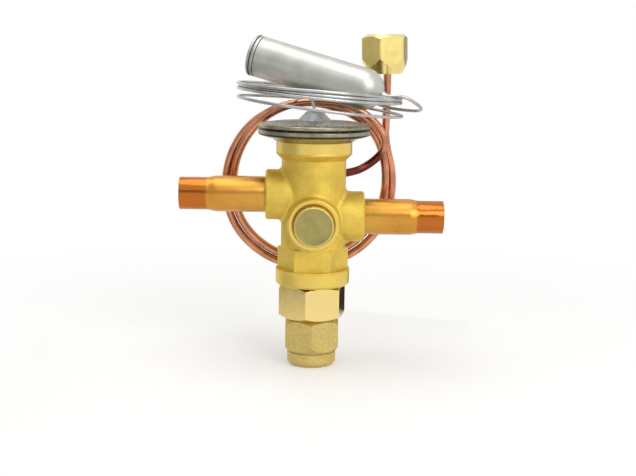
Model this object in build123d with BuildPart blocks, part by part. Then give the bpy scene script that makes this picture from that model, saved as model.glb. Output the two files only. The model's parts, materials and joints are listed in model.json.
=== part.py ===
from build123d import *
import os
from math import atan2, ceil, cos, degrees, pi, radians, sin, sqrt, tan

# Thermostatic expansion valve with brazed stubs, a front check valve, a bulb on a coiled
# capillary tube, and an external equalizer tube with its flare nut.
# Millimetres. The origin is the middle of the seal cap's flat foot, +Z runs up the valve's
# axis, -Y is the side of the check valve's plug, and +X is the outlet side.

# ---------------------------------------------------------------- fits and clearances
thread_clearance = 0.05      # radial, between a screw thread's stand-in cylinders
running_clearance = 0.05     # radial, shafts and rods that turn or slide
guide_clearance = 0.08       # radial, wide guided discs
braze_clearance = 0.05       # radial, tubes and plugs brazed into sockets

# ---------------------------------------------------------------- seal cap
cap_height = 18.8
cap_foot_radius = 8.4
cap_drum_radius = 9.6
cap_drum_height = 5.3
cap_foot_chamfer_height = 1.5
cap_neck_radius = 9.2
cap_neck_height = 0.6
cap_hex_flats = 20.8
cap_hex_low_chamfer = 2.6     # along the axis, at the corners
cap_hex_top_chamfer = 2.0
cap_floor_thickness = 4.5
cap_cavity_radius = 6.2
cap_thread_relief = 0.5
cap_mouth_recess_depth = 0.8

# ---------------------------------------------------------------- cap washer
washer_thickness = 1.2
washer_radius = 9.0

# ---------------------------------------------------------------- bonnet
bonnet_hex_flats = 24.0
bonnet_hex_height = 13.15
bonnet_hex_turn = 18.8       # degrees
bonnet_joint_gap = 0.05
cap_spigot_radius = 7.5
cap_spigot_length = 10.4
packing_bore_radius = 5.4
packing_bore_depth = 9.4
bonnet_web_thickness = 2.3
spring_bore_radius = 7.0
body_spigot_radius = 9.5
body_spigot_length = 11.1
key_width = 1.8
key_depth = 0.75
gasket_width = 1.9
gasket_thickness = 0.8

# ---------------------------------------------------------------- adjusting stem and packing
stem_radius = 3.5
stem_length_below_web = 11.2
stem_square = 4.8
stem_square_length = 5.0
stem_collar_radius = 5.2
stem_collar_height = 2.0
stem_thread_radius = 2.95
stem_thread_length = 13.6
gland_height = 3.3
gland_slot_width = 1.6
gland_slot_depth = 1.2
packing_ring_count = 2
packing_ring_gap = 0.1

# ---------------------------------------------------------------- superheat spring and its seat
seat_travel = 3.0            # each way from the factory setting
spring_seat_height = 1.6
spring_seat_hub_height = 3.2
spring_wire_radius = 0.75
spring_radius = 5.2
spring_turns = 6.5
spring_steps_per_turn = 6
spring_clearance = 0.1

# ---------------------------------------------------------------- pin, carrier and rods
pin_travel = 0.8
carrier_height = 2.2
carrier_hub_radius = 4.1
carrier_hub_height = 3.0
carrier_notch_count = 3
carrier_notch_radius = 1.5
pin_radius = 1.6
pin_tip_radius = 0.6
pin_cone_height = 2.4
pin_seat_clearance = 0.03
rod_radius = 0.8
rod_offset = 6.0

# ---------------------------------------------------------------- seat insert
port_radius = 1.3
seat_radius = 3.5
seat_flange_radius = 4.6
seat_flange_height = 1.0
seat_shank_height = 3.0
pin_room = 3.4               # from the carrier's top to the seat's lower face

# ---------------------------------------------------------------- forged body
collar_radius = 14.5
collar_height = 6.4
collar_chamfer = 0.8
body_hex_flats = 24.0
body_hex_height = 8.3
body_hex_turn = -1.2         # degrees
column_radius = 12.55
column_height = 34.4
shoulder_height = 2.2
head_radius = 14.8
head_height = 4.8
head_spigot_radius = 9.05
head_spigot_height = 1.7
inlet_height = 35.2          # port heights, from the collar's lower face
outlet_height = 26.9
check_height = 25.6
side_boss_radius = 9.8
inlet_reach = 18.7           # from the valve's axis to the boss's face
outlet_reach = 19.8
boss_edge_chamfer = 0.6
front_boss_radius = 9.7
front_boss_root_radius = 11.0
front_reach = 17.5
side_blend = 1.8
front_blend = 1.2
chamber_radius = 7.4
chamber_height = 27.6        # roof of the pin's chamber, from the collar's lower face
port_bore_radius = 4.6
inlet_bore_overrun = 2.6
outlet_bore_start = 5.5
socket_depth = 6.5

# ---------------------------------------------------------------- copper stubs
stub_radius = 7.0
stub_end_radius = 6.35
stub_wall = 0.9
inlet_length = 52.2          # from the valve's axis to the open end
outlet_length = 50.8
inlet_plain_length = 10.6
outlet_plain_length = 9.4
swage_length = 4.2

# ---------------------------------------------------------------- check valve
ball_radius = 3.0
check_seat_radius = 2.3
check_wall = 0.8
ball_travel = 1.8
flute_count = 3
flute_radius = 1.2
plug_radius = 7.6
plug_length = 7.1
plug_chamfer = 0.35
plug_mouth_chamfer = 0.75
bypass_radius = 1.3

# ---------------------------------------------------------------- power element
rim_radius = 21.8
cup_thickness = 1.2
cup_floor_radius = 15.0
cup_step_radius = 16.4
cup_step_height = 1.1
cup_slope_radius = 20.4
cup_slope_height = 2.2
cup_rim_bottom = 2.7
cup_rim_top = 4.8
cup_land_radius = 19.0
rim_seam_depth = 0.35         # the groove between cup and cover
diaphragm_thickness = 0.3
diaphragm_radius = 21.3
diaphragm_flat_radius = 11.5
diaphragm_wave_height = 0.5
cover_rim_thickness = 1.75
cover_rim_radius = 21.6
cover_thickness = 1.2
cover_shoulder_radius = 16.5
cover_shoulder_height = 0.6
cover_top_radius = 8.2
cover_top_height = 1.2
cover_hole_radius = 2.0
buffer_radius = 13.0
buffer_thickness = 1.8
ferrule_base_radius = 6.8
ferrule_waist_radius = 4.75
ferrule_top_radius = 3.2
ferrule_height = 3.85
ferrule_shoulder = 0.6

# ---------------------------------------------------------------- capillary tube
capillary_radius = 0.62
capillary_bore_radius = 0.3
coil_centre_x = 2.0
coil_radius = 31.9
coil_inner_radius = 30.0
coil_steps_per_turn = 8
coil_middle_z = 105.45
coil_pitch = 1.15
coil_nest = 0.96             # how far every second turn lies inside on the inlet side
coil_droop = 3.2
coil_droop_change = 0.25     # per turn
coil_low_z = 102.1           # the lowest strand's middle
coil_low_droop = 3.7

# ---------------------------------------------------------------- sensing bulb
bulb_radius = 8.0
bulb_length = 54.0
bulb_wall = 0.8
bulb_end_point = (-24.0, 6.5, 121.2)
bulb_droop = 15.1            # degrees below the horizontal, towards the nose
bulb_swing = 18.0            # degrees towards the plug's side
end_cap_width = 1.3
end_cap_recess = 0.8
solder_radius = 1.5
solder_length = 1.7

# ---------------------------------------------------------------- equalizer tube and flare nut
equalizer_radius = 1.5875
equalizer_bore_radius = 1.0
equalizer_port_height = 42.5  # from the collar's lower face
equalizer_port_turn = 40.0    # degrees from the outlet side towards the back
gallery_radius = 1.2
gallery_offset = 7.0
tube_start = 8.6              # from the valve's axis, along the port
first_bend = 17.0
loop_centre_x = -2.0
loop_centre_z = 68.4
loop_step = 37                # degrees, between the loop's corners
nut_flats = 17.0
nut_height = 15.6
nut_turn = 15.3               # degrees
nut_tilt = 1.5                # degrees, its top towards the inlet side
nut_point = (28.2, 21.5, 114.3)
nut_offset = 1.1              # from the nut's axis to the tube's
nut_hole_radius = 3.1
nut_hole_length = 4.6
nut_thread_radius = 4.93
nut_thread_length = 5.0
nut_thread_relief = 0.35      # radial, the groove below the thread where the tube's flare sits
nut_mouth_chamfer = 0.6
nut_neck_radius = 6.9
nut_cone_height = 6.25
nut_face_radius = 7.3
nut_face_chamfer = 1.8        # along the nut's axis
nut_edge_radius = 0.9
bush_radius = 3.3
bush_height = 3.0

os.makedirs("parts", exist_ok=True)

# ---------------------------------------------------------------- heights worked out
bonnet_z = cap_height - cap_mouth_recess_depth + washer_thickness
cap_thread_floor_z = bonnet_z - cap_spigot_length - cap_thread_relief
bonnet_top_z = bonnet_z + bonnet_hex_height
body_z = bonnet_top_z + bonnet_joint_gap
collar_top_z = body_z + collar_height
body_hex_top_z = collar_top_z + body_hex_height
column_top_z = body_hex_top_z + column_height
head_z = column_top_z + shoulder_height
head_top_z = head_z + head_height
head_spigot_top_z = head_top_z + head_spigot_height
inlet_z = body_z + inlet_height
outlet_z = body_z + outlet_height
check_z = body_z + check_height
chamber_top_z = body_z + chamber_height
web_bottom_z = bonnet_z - cap_spigot_length + packing_bore_depth
web_top_z = web_bottom_z + bonnet_web_thickness
body_spigot_top_z = bonnet_top_z + body_spigot_length
seat_z = chamber_top_z - seat_flange_height
carrier_top_z = seat_z - pin_room
carrier_bottom_z = carrier_top_z - carrier_height
stem_thread_z = web_top_z + stem_collar_height
spring_seat_z = stem_thread_z + seat_travel + 2.5
spring_bottom_z = spring_seat_z + spring_seat_height
cup_rim_top_z = head_top_z + cup_rim_top
diaphragm_top_z = cup_rim_top_z + diaphragm_thickness
cover_rim_top_z = diaphragm_top_z + cover_rim_thickness
cover_top_z = cover_rim_top_z + cover_top_height
ferrule_top_z = cover_top_z + ferrule_height


def hex_radius(flats):
    """Corner radius of a hexagon of the given width across flats."""
    return flats / sqrt(3)


def bend_radii(points, share=0.47):
    """Largest equal-share bend radius at each corner of a route."""
    corners = [Vector(*point) for point in points]
    radii = []
    for before, corner, after in zip(corners, corners[1:], corners[2:]):
        run_in = corner - before
        run_out = after - corner
        turn = radians(run_in.get_angle(run_out))
        radii.append(share * min(run_in.length, run_out.length) / tan(turn / 2))
    return radii


# ================================================================ lower end
with BuildPart() as seal_cap:
    with BuildSketch(Plane.XY.offset(cap_drum_height + cap_neck_height)):
        RegularPolygon(radius=hex_radius(cap_hex_flats), side_count=6, rotation=30)
    extrude(amount=cap_height - cap_drum_height - cap_neck_height)
    hex_corner = hex_radius(cap_hex_flats)
    hex_low_z = cap_drum_height + cap_neck_height
    with BuildSketch(Plane.XZ):
        with BuildLine():
            Polyline(
                (0, hex_low_z),
                (cap_hex_flats / 2 - 0.4, hex_low_z),
                (hex_corner, hex_low_z + cap_hex_low_chamfer),
                (hex_corner, cap_height - cap_hex_top_chamfer),
                (cap_hex_flats / 2 - 0.4, cap_height),
                (0, cap_height),
                close=True,
            )
        make_face()
    revolve(axis=Axis.Z, mode=Mode.INTERSECT)
    with BuildSketch(Plane.XZ):
        with BuildLine():
            Polyline(
                (0, 0),
                (cap_foot_radius, 0),
                (cap_drum_radius, cap_foot_chamfer_height),
                (cap_drum_radius, cap_drum_height),
                (cap_neck_radius, cap_drum_height + 0.2),
                (cap_neck_radius, hex_low_z + 0.1),
                (0, hex_low_z + 0.1),
                close=True,
            )
        make_face()
    revolve(axis=Axis.Z)
    with BuildSketch(Plane.XZ):
        with BuildLine():
            Polyline(
                (0, cap_floor_thickness),
                (cap_cavity_radius, cap_floor_thickness),
                (cap_cavity_radius, cap_thread_floor_z),
                (cap_spigot_radius + thread_clearance, cap_thread_floor_z),
                (cap_spigot_radius + thread_clearance, cap_height - cap_mouth_recess_depth),
                (washer_radius + running_clearance, cap_height - cap_mouth_recess_depth),
                (washer_radius + running_clearance, cap_height),
                (0, cap_height),
                close=True,
            )
        make_face()
    revolve(axis=Axis.Z, mode=Mode.SUBTRACT)
seal_cap.part.label = "seal_cap"

with BuildPart() as cap_washer:
    with BuildSketch(Plane.XY.offset(cap_height - cap_mouth_recess_depth)):
        Circle(washer_radius)
        Circle(cap_spigot_radius + thread_clearance, mode=Mode.SUBTRACT)
    extrude(amount=washer_thickness)
cap_washer.part.label = "cap_washer"

with BuildPart() as bonnet:
    with BuildSketch(Plane.XY.offset(bonnet_z)):
        RegularPolygon(radius=hex_radius(bonnet_hex_flats), side_count=6, rotation=bonnet_hex_turn)
    extrude(amount=bonnet_hex_height)
    hex_corner = hex_radius(bonnet_hex_flats)
    with BuildSketch(Plane.XZ):
        with BuildLine():
            Polyline(
                (0, bonnet_z),
                (bonnet_hex_flats / 2 - 0.5, bonnet_z),
                (hex_corner, bonnet_z + 1.4),
                (hex_corner, bonnet_top_z - 1.2),
                (bonnet_hex_flats / 2 - 0.3, bonnet_top_z),
                (0, bonnet_top_z),
                close=True,
            )
        make_face()
    revolve(axis=Axis.Z, mode=Mode.INTERSECT)
    with BuildSketch(Plane.XY.offset(bonnet_z - cap_spigot_length)):
        Circle(cap_spigot_radius)
    extrude(amount=cap_spigot_length)
    with BuildSketch(Plane.XY.offset(bonnet_top_z)):
        Circle(body_spigot_radius)
    extrude(amount=body_spigot_length)
    with BuildSketch(Plane.XY.offset(bonnet_top_z - gasket_thickness + bonnet_joint_gap)):
        Circle(body_spigot_radius + 2 * braze_clearance + gasket_width)
        Circle(body_spigot_radius, mode=Mode.SUBTRACT)
    extrude(amount=gasket_thickness, mode=Mode.SUBTRACT)
    with BuildSketch(Plane.XY.offset(bonnet_z - cap_spigot_length)):
        Circle(packing_bore_radius)
    extrude(amount=packing_bore_depth, mode=Mode.SUBTRACT)
    with BuildSketch(Plane.XY.offset(web_bottom_z)):
        Circle(stem_radius + running_clearance)
    extrude(amount=bonnet_web_thickness, mode=Mode.SUBTRACT)
    with BuildSketch(Plane.XY.offset(web_top_z)):
        Circle(spring_bore_radius)
        Rectangle(2 * (spring_bore_radius + key_depth), key_width + 2 * guide_clearance)
    extrude(amount=body_spigot_top_z - web_top_z, mode=Mode.SUBTRACT)
bonnet.part.label = "bonnet"

with BuildPart() as bonnet_gasket:
    with BuildSketch(Plane.XY.offset(body_z - gasket_thickness)):
        Circle(body_spigot_radius + braze_clearance + gasket_width)
        Circle(body_spigot_radius + braze_clearance, mode=Mode.SUBTRACT)
    extrude(amount=gasket_thickness)
bonnet_gasket.part.label = "bonnet_gasket"

with BuildPart() as adjusting_stem:
    with BuildSketch(Plane.XY.offset(web_bottom_z - stem_length_below_web)):
        Rectangle(stem_square, stem_square)
    extrude(amount=stem_square_length)
    with BuildSketch(Plane.XZ):
        with BuildLine():
            stem_round_z = web_bottom_z - stem_length_below_web + stem_square_length
            Polyline(
                (0, stem_round_z),
                (stem_radius - 0.3, stem_round_z),
                (stem_radius, stem_round_z + 0.3),
                (stem_radius, web_top_z),
                (stem_collar_radius, web_top_z),
                (stem_collar_radius, stem_thread_z),
                (stem_thread_radius, stem_thread_z),
                (stem_thread_radius, stem_thread_z + stem_thread_length - 0.5),
                (stem_thread_radius - 0.5, stem_thread_z + stem_thread_length),
                (0, stem_thread_z + stem_thread_length),
                close=True,
            )
        make_face()
    revolve(axis=Axis.Z)
adjusting_stem.part.label = "adjusting_stem"

gland_z = bonnet_z - cap_spigot_length + 0.4
packing_z = gland_z + gland_height
packing_ring_height = (web_bottom_z - packing_z) / packing_ring_count - packing_ring_gap

with BuildPart() as packing_gland:
    with BuildSketch(Plane.XY.offset(gland_z)):
        Circle(packing_bore_radius - thread_clearance)
        Circle(stem_radius + running_clearance, mode=Mode.SUBTRACT)
    extrude(amount=gland_height)
    with BuildSketch(Plane.XY.offset(gland_z)):
        Rectangle(2 * packing_bore_radius, gland_slot_width)
    extrude(amount=gland_slot_depth, mode=Mode.SUBTRACT)
packing_gland.part.label = "packing_gland"

with BuildPart() as stem_packing:
    for ring in range(packing_ring_count):
        ring_z = packing_z + packing_ring_gap / 2 + ring * (packing_ring_height + packing_ring_gap)
        with BuildSketch(Plane.XY.offset(ring_z)):
            Circle(packing_bore_radius - thread_clearance)
            Circle(stem_radius + running_clearance, mode=Mode.SUBTRACT)
        extrude(amount=packing_ring_height)
stem_packing.part.label = "stem_packing"

with BuildPart() as spring_seat:
    with BuildSketch(Plane.XY.offset(spring_seat_z)):
        Circle(spring_bore_radius - guide_clearance)
        Rectangle(2 * (spring_bore_radius + key_depth - guide_clearance), key_width)
    extrude(amount=spring_seat_height)
    with BuildSketch(Plane.XY.offset(spring_bottom_z)):
        Circle(spring_radius - spring_wire_radius - spring_clearance)
    extrude(amount=spring_seat_hub_height)
    with BuildSketch(Plane.XY.offset(spring_seat_z)):
        Circle(stem_thread_radius + thread_clearance)
    extrude(amount=spring_seat_height + spring_seat_hub_height, mode=Mode.SUBTRACT)
spring_seat.part.label = "spring_seat"

# The spring's turns, as a rising polygon with rounded corners.
spring_low = spring_bottom_z + spring_wire_radius + spring_clearance
spring_high = carrier_bottom_z - spring_wire_radius - spring_clearance
spring_points = []
spring_steps = round(spring_turns * spring_steps_per_turn)
for step in range(spring_steps + 1):
    angle = 2 * pi * step / spring_steps_per_turn
    # The first and last turns lie flat against their seats.
    rise = min(max((step / spring_steps_per_turn - 0.8) / (spring_turns - 1.6), 0), 1)
    dead_rise = 0.4 * (min(step / spring_steps_per_turn / 0.8, 1)
                       + min(max((step / spring_steps_per_turn - spring_turns + 0.8) / 0.8, 0), 1))
    height = spring_low + rise * (spring_high - spring_low - 0.8) + dead_rise
    corner_radius = spring_radius / cos(pi / spring_steps_per_turn) * 0.985
    spring_points.append((corner_radius * cos(angle), corner_radius * sin(angle), height))

with BuildPart() as superheat_spring:
    with BuildLine() as spring_path:
        FilletPolyline(*spring_points, radius=bend_radii(spring_points))
    with BuildSketch(Plane(origin=spring_path.line @ 0, z_dir=spring_path.line % 0)):
        Circle(spring_wire_radius)
    sweep()
superheat_spring.part.label = "superheat_spring"

# ================================================================ pin and its carrier
with BuildPart() as pin_carrier:
    with BuildSketch(Plane.XY.offset(carrier_bottom_z)):
        Circle(chamber_radius - guide_clearance)
        with PolarLocations(chamber_radius, carrier_notch_count, start_angle=30):
            Circle(carrier_notch_radius, mode=Mode.SUBTRACT)
    extrude(amount=carrier_height)
    with BuildSketch(Plane.XY.offset(carrier_bottom_z - carrier_hub_height)):
        Circle(carrier_hub_radius)
    extrude(amount=carrier_hub_height)
    with BuildSketch(Plane.XY.offset(carrier_bottom_z - carrier_hub_height / 2)):
        Circle(pin_radius)
    extrude(amount=carrier_hub_height / 2 + carrier_height, mode=Mode.SUBTRACT)
pin_carrier.part.label = "pin_carrier"

with BuildPart() as valve_pin:
    pin_cone_z = seat_z - (pin_radius - port_radius + pin_seat_clearance) * pin_cone_height / (
        pin_radius - pin_tip_radius
    )
    with BuildSketch(Plane.XZ):
        with BuildLine():
            Polyline(
                (0, carrier_bottom_z - carrier_hub_height / 2),
                (pin_radius, carrier_bottom_z - carrier_hub_height / 2),
                (pin_radius, pin_cone_z),
                (pin_tip_radius, pin_cone_z + pin_cone_height),
                (0, pin_cone_z + pin_cone_height),
                close=True,
            )
        make_face()
    revolve(axis=Axis.Z)
valve_pin.part.label = "valve_pin"

with BuildPart() as seat_insert:
    with BuildSketch(Plane.XY.offset(seat_z)):
        Circle(seat_flange_radius)
    extrude(amount=seat_flange_height)
    with BuildSketch(Plane.XY.offset(chamber_top_z)):
        Circle(seat_radius)
    extrude(amount=seat_shank_height)
    with BuildSketch(Plane.XZ):
        with BuildLine():
            Polyline(
                (0, seat_z),
                (port_radius, seat_z),
                (port_radius, chamber_top_z + 1.0),
                (port_radius + 1.2, chamber_top_z + seat_shank_height),
                (0, chamber_top_z + seat_shank_height),
                close=True,
            )
        make_face()
    revolve(axis=Axis.Z, mode=Mode.SUBTRACT)
seat_insert.part.label = "seat_insert"

buffer_bottom_z = cup_rim_top_z - buffer_thickness
push_rods = []
for side, rod_name in ((-1, "push_rod_front"), (1, "push_rod_rear")):
    with BuildPart() as push_rod:
        with BuildSketch(Plane.XY.offset(carrier_top_z)):
            with Locations((0, side * rod_offset)):
                Circle(rod_radius)
        extrude(amount=buffer_bottom_z - carrier_top_z)
    push_rod.part.label = rod_name
    push_rods.append(push_rod)

# ================================================================ forged body
check_floor_y = -(chamber_radius + check_wall)
check_ball_y = check_floor_y - sqrt(ball_radius**2 - check_seat_radius**2)
plug_inner_y = check_ball_y - ball_radius - ball_travel
check_bore_radius = ball_radius + guide_clearance
port_turn = radians(equalizer_port_turn)
port_direction = (cos(port_turn), sin(port_turn), 0)
equalizer_z = body_z + equalizer_port_height

with BuildPart() as valve_body:
    with BuildSketch(Plane.XY.offset(body_hex_top_z)):
        Circle(column_radius)
    extrude(amount=column_height)
    for reach, height, side in ((inlet_reach, inlet_z, -1), (outlet_reach, outlet_z, 1)):
        with BuildSketch(Plane(origin=(0, 0, height), x_dir=(side, 0, 0), z_dir=(0, -side, 0))):
            with BuildLine():
                Polyline(
                    (0, 0),
                    (0, side_boss_radius),
                    (reach - boss_edge_chamfer, side_boss_radius),
                    (reach, side_boss_radius - boss_edge_chamfer),
                    (reach, 0),
                    close=True,
                )
            make_face()
        revolve(axis=Axis((0, 0, height), (1, 0, 0)))
    # The side bosses melt into the column along their crossing curves.
    crossing = valve_body.edges().filter_by(GeomType.BSPLINE)
    fillet(crossing, side_blend)
    with BuildSketch(Plane(origin=(0, 0, check_z), x_dir=(1, 0, 0), z_dir=(0, -1, 0))):
        Circle(front_boss_root_radius)
    with BuildSketch(Plane(origin=(0, -front_reach, check_z), x_dir=(1, 0, 0), z_dir=(0, -1, 0))):
        Circle(front_boss_radius)
    loft()
    draft = (front_boss_root_radius - front_boss_radius) / front_reach

    def lies_on_front_boss(edge):
        middle = edge @ 0.5
        cone_radius = front_boss_root_radius + draft * middle.Y
        return abs(sqrt(middle.X**2 + (middle.Z - check_z) ** 2) - cone_radius) < 0.02

    front_crossing = (
        valve_body.edges()
        .filter_by(GeomType.BSPLINE)
        .filter_by(lies_on_front_boss)
        .filter_by(lambda edge: (edge @ 0.5).Y < 0)
    )
    fillet(front_crossing, front_blend)
    # Collar, hexagon and head.
    with BuildSketch(Plane.XY.offset(collar_top_z)):
        RegularPolygon(radius=hex_radius(body_hex_flats), side_count=6, rotation=body_hex_turn)
    extrude(amount=body_hex_height)
    with BuildSketch(Plane.XZ):
        with BuildLine():
            Polyline(
                (0, body_z),
                (collar_radius - collar_chamfer, body_z),
                (collar_radius, body_z + collar_chamfer),
                (collar_radius, collar_top_z),
                (0, collar_top_z),
                close=True,
            )
        make_face()
    revolve(axis=Axis.Z)
    with BuildSketch(Plane.XZ):
        with BuildLine():
            Polyline(
                (0, column_top_z),
                (column_radius, column_top_z),
                (head_radius, head_z),
                (head_radius, head_top_z),
                (head_spigot_radius, head_top_z),
                (head_spigot_radius, head_spigot_top_z),
                (0, head_spigot_top_z),
                close=True,
            )
        make_face()
    revolve(axis=Axis.Z)
    # Bores up the axis: bonnet thread, pin chamber and seat hole.
    with BuildSketch(Plane.XZ):
        with BuildLine():
            Polyline(
                (0, body_z),
                (body_spigot_radius + thread_clearance, body_z),
                (body_spigot_radius + thread_clearance, body_spigot_top_z + 0.5),
                (chamber_radius, body_spigot_top_z + 0.5),
                (chamber_radius, chamber_top_z),
                (seat_radius + braze_clearance, chamber_top_z),
                (seat_radius + braze_clearance, inlet_z),
                (0, inlet_z),
                close=True,
            )
        make_face()
    revolve(axis=Axis.Z, mode=Mode.SUBTRACT)
    # Inlet and outlet: a socket for the stub, then a drilling to the middle.
    with BuildSketch(Plane(origin=(-inlet_reach, 0, inlet_z), x_dir=(0, 1, 0), z_dir=(1, 0, 0))):
        Circle(port_bore_radius)
    extrude(amount=inlet_reach + inlet_bore_overrun, mode=Mode.SUBTRACT)
    with BuildSketch(Plane(origin=(outlet_bore_start, 0, outlet_z), x_dir=(0, 1, 0), z_dir=(1, 0, 0))):
        Circle(port_bore_radius)
    extrude(amount=outlet_reach - outlet_bore_start, mode=Mode.SUBTRACT)
    for reach, height, side in ((inlet_reach, inlet_z, -1), (outlet_reach, outlet_z, 1)):
        socket_plane = Plane(origin=(side * reach, 0, height), x_dir=(0, side, 0), z_dir=(side, 0, 0))
        with BuildSketch(socket_plane):
            Circle(stub_radius + braze_clearance)
        extrude(amount=-socket_depth, mode=Mode.SUBTRACT)
    # Check valve: plug bore with a chamfered mouth, ball guide with flutes, seat hole.
    with BuildSketch(Plane(origin=(0, plug_inner_y, check_z), x_dir=(1, 0, 0), z_dir=(0, -1, 0))):
        Circle(plug_radius + braze_clearance)
    extrude(amount=front_reach + plug_inner_y, mode=Mode.SUBTRACT)
    with BuildSketch(Plane(origin=(0, check_floor_y, check_z), x_dir=(1, 0, 0), z_dir=(0, -1, 0))):
        Circle(check_bore_radius)
        with PolarLocations(check_bore_radius + flute_radius / 2, flute_count, start_angle=150):
            Circle(flute_radius)
    extrude(amount=check_floor_y - plug_inner_y, mode=Mode.SUBTRACT)
    with BuildSketch(Plane(origin=(0, check_floor_y, check_z), x_dir=(1, 0, 0), z_dir=(0, 1, 0))):
        Circle(check_seat_radius)
    extrude(amount=check_wall + 1.2, mode=Mode.SUBTRACT)
    # Bypass drilling, from the floor of the inlet socket to a flute of the check valve.
    bypass_start = Vector(-(inlet_reach - socket_depth) - 0.8, -3.9, inlet_z - 2.8)
    bypass_end = Vector(-2.6, check_floor_y - 4.0, check_z + 1.0)
    with BuildSketch(Plane(origin=bypass_start, z_dir=(bypass_end - bypass_start))):
        Circle(bypass_radius)
    extrude(amount=(bypass_end - bypass_start).length, mode=Mode.SUBTRACT)
    # Push rod holes, and the equalizer's port and gallery.
    with BuildSketch(Plane.XY.offset(chamber_top_z)):
        with Locations((0, -rod_offset), (0, rod_offset)):
            Circle(rod_radius + running_clearance)
    extrude(amount=head_spigot_top_z - chamber_top_z, mode=Mode.SUBTRACT)
    with BuildSketch(Plane.XY.offset(equalizer_z)):
        with Locations((gallery_offset * cos(port_turn), gallery_offset * sin(port_turn))):
            Circle(gallery_radius)
    extrude(amount=head_spigot_top_z - equalizer_z, mode=Mode.SUBTRACT)
    port_start = Vector(*port_direction) * gallery_offset + Vector(0, 0, equalizer_z)
    with BuildSketch(Plane(origin=port_start, z_dir=port_direction)):
        Circle(equalizer_radius + braze_clearance)
    extrude(amount=column_radius, mode=Mode.SUBTRACT)
    # Turned edges of the check valve's boss.
    plug_mouth = (
        valve_body.edges()
        .filter_by(GeomType.CIRCLE)
        .filter_by(lambda edge: abs((edge @ 0).Y + front_reach) < 0.01)
    )
    chamfer(plug_mouth.sort_by(lambda edge: edge.radius)[0], plug_mouth_chamfer)
    fillet(
        valve_body.edges()
        .filter_by(GeomType.CIRCLE)
        .filter_by(lambda edge: abs((edge @ 0).Y + front_reach) < 0.01)
        .sort_by(lambda edge: edge.radius)[-1],
        0.4,
    )
valve_body.part.label = "valve_body"

# ================================================================ copper stubs
stubs = []
for stub_name, side, reach, height, length, plain in (
    ("inlet_stub", -1, inlet_reach, inlet_z, inlet_length, inlet_plain_length),
    ("outlet_stub", 1, outlet_reach, outlet_z, outlet_length, outlet_plain_length),
):
    with BuildPart() as stub:
        swage_end = length - plain
        swage_start = swage_end - swage_length
        inner_end = reach - socket_depth
        with BuildSketch(Plane.XZ):
            with BuildLine():
                outer_start = Line((side * inner_end, height + stub_radius),
                                   (side * swage_start, height + stub_radius))
                outer_swage = Spline(outer_start @ 1, (side * swage_end, height + stub_end_radius),
                                     tangents=((side, 0), (side, 0)))
                Polyline(
                    outer_swage @ 1,
                    (side * (length - 0.25), height + stub_end_radius),
                    (side * length, height + stub_end_radius - 0.25),
                    (side * length, height + stub_end_radius - stub_wall),
                    (side * swage_end, height + stub_end_radius - stub_wall),
                )
                inner_swage = Spline(
                    (side * swage_end, height + stub_end_radius - stub_wall),
                    (side * swage_start, height + stub_radius - stub_wall),
                    tangents=((-side, 0), (-side, 0)),
                )
                Polyline(
                    inner_swage @ 1,
                    (side * inner_end, height + stub_radius - stub_wall),
                    outer_start @ 0,
                )
            make_face()
        revolve(axis=Axis((0, 0, height), (1, 0, 0)))
    stub.part.label = stub_name
    stubs.append(stub)

# ================================================================ check valve
with BuildPart() as check_ball:
    with Locations((0, check_ball_y, check_z)):
        Sphere(ball_radius)
check_ball.part.label = "check_ball"

with BuildPart() as check_plug:
    with BuildSketch(Plane(origin=(0, plug_inner_y, check_z), x_dir=(1, 0, 0), z_dir=(0, -1, 0))):
        Circle(plug_radius)
    extrude(amount=plug_length)
    chamfer(check_plug.faces().sort_by(Axis.Y)[0].edges(), plug_chamfer)
check_plug.part.label = "check_plug"

# ================================================================ power element
with BuildPart() as element_cup:
    with BuildSketch(Plane.XZ):
        with BuildLine():
            hole = head_spigot_radius + braze_clearance
            Polyline(
                (hole, head_top_z),
                (cup_floor_radius, head_top_z),
                (cup_step_radius, head_top_z + cup_step_height),
                (cup_slope_radius, head_top_z + cup_slope_height),
                (rim_radius, head_top_z + cup_rim_bottom),
                (rim_radius, cup_rim_top_z - rim_seam_depth),
                (rim_radius - rim_seam_depth, cup_rim_top_z),
                (cup_land_radius, cup_rim_top_z),
                (cup_land_radius - 0.5, head_top_z + cup_slope_height + cup_thickness),
                (cup_step_radius - 0.6, head_top_z + cup_step_height + cup_thickness),
                (cup_floor_radius - 0.6, head_top_z + cup_thickness),
                (hole, head_top_z + cup_thickness),
                close=True,
            )
        make_face()
    revolve(axis=Axis.Z)
element_cup.part.label = "element_cup"

with BuildPart() as diaphragm:
    wave_pitch = (cup_land_radius - diaphragm_flat_radius) / 4
    with BuildSketch(Plane.XZ):
        with BuildLine():
            wave_lower = [(0, cup_rim_top_z), (diaphragm_flat_radius, cup_rim_top_z)]
            for wave in range(4):
                lift = diaphragm_wave_height if wave % 2 == 0 else 0
                wave_lower.append((diaphragm_flat_radius + (wave + 0.5) * wave_pitch,
                                   cup_rim_top_z + lift))
            wave_lower += [(cup_land_radius, cup_rim_top_z), (diaphragm_radius, cup_rim_top_z)]
            wave_upper = [(r, z + diaphragm_thickness) for r, z in reversed(wave_lower)]
            Polyline(*wave_lower, *wave_upper, close=True)
        make_face()
    revolve(axis=Axis.Z)
diaphragm.part.label = "diaphragm"

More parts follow.
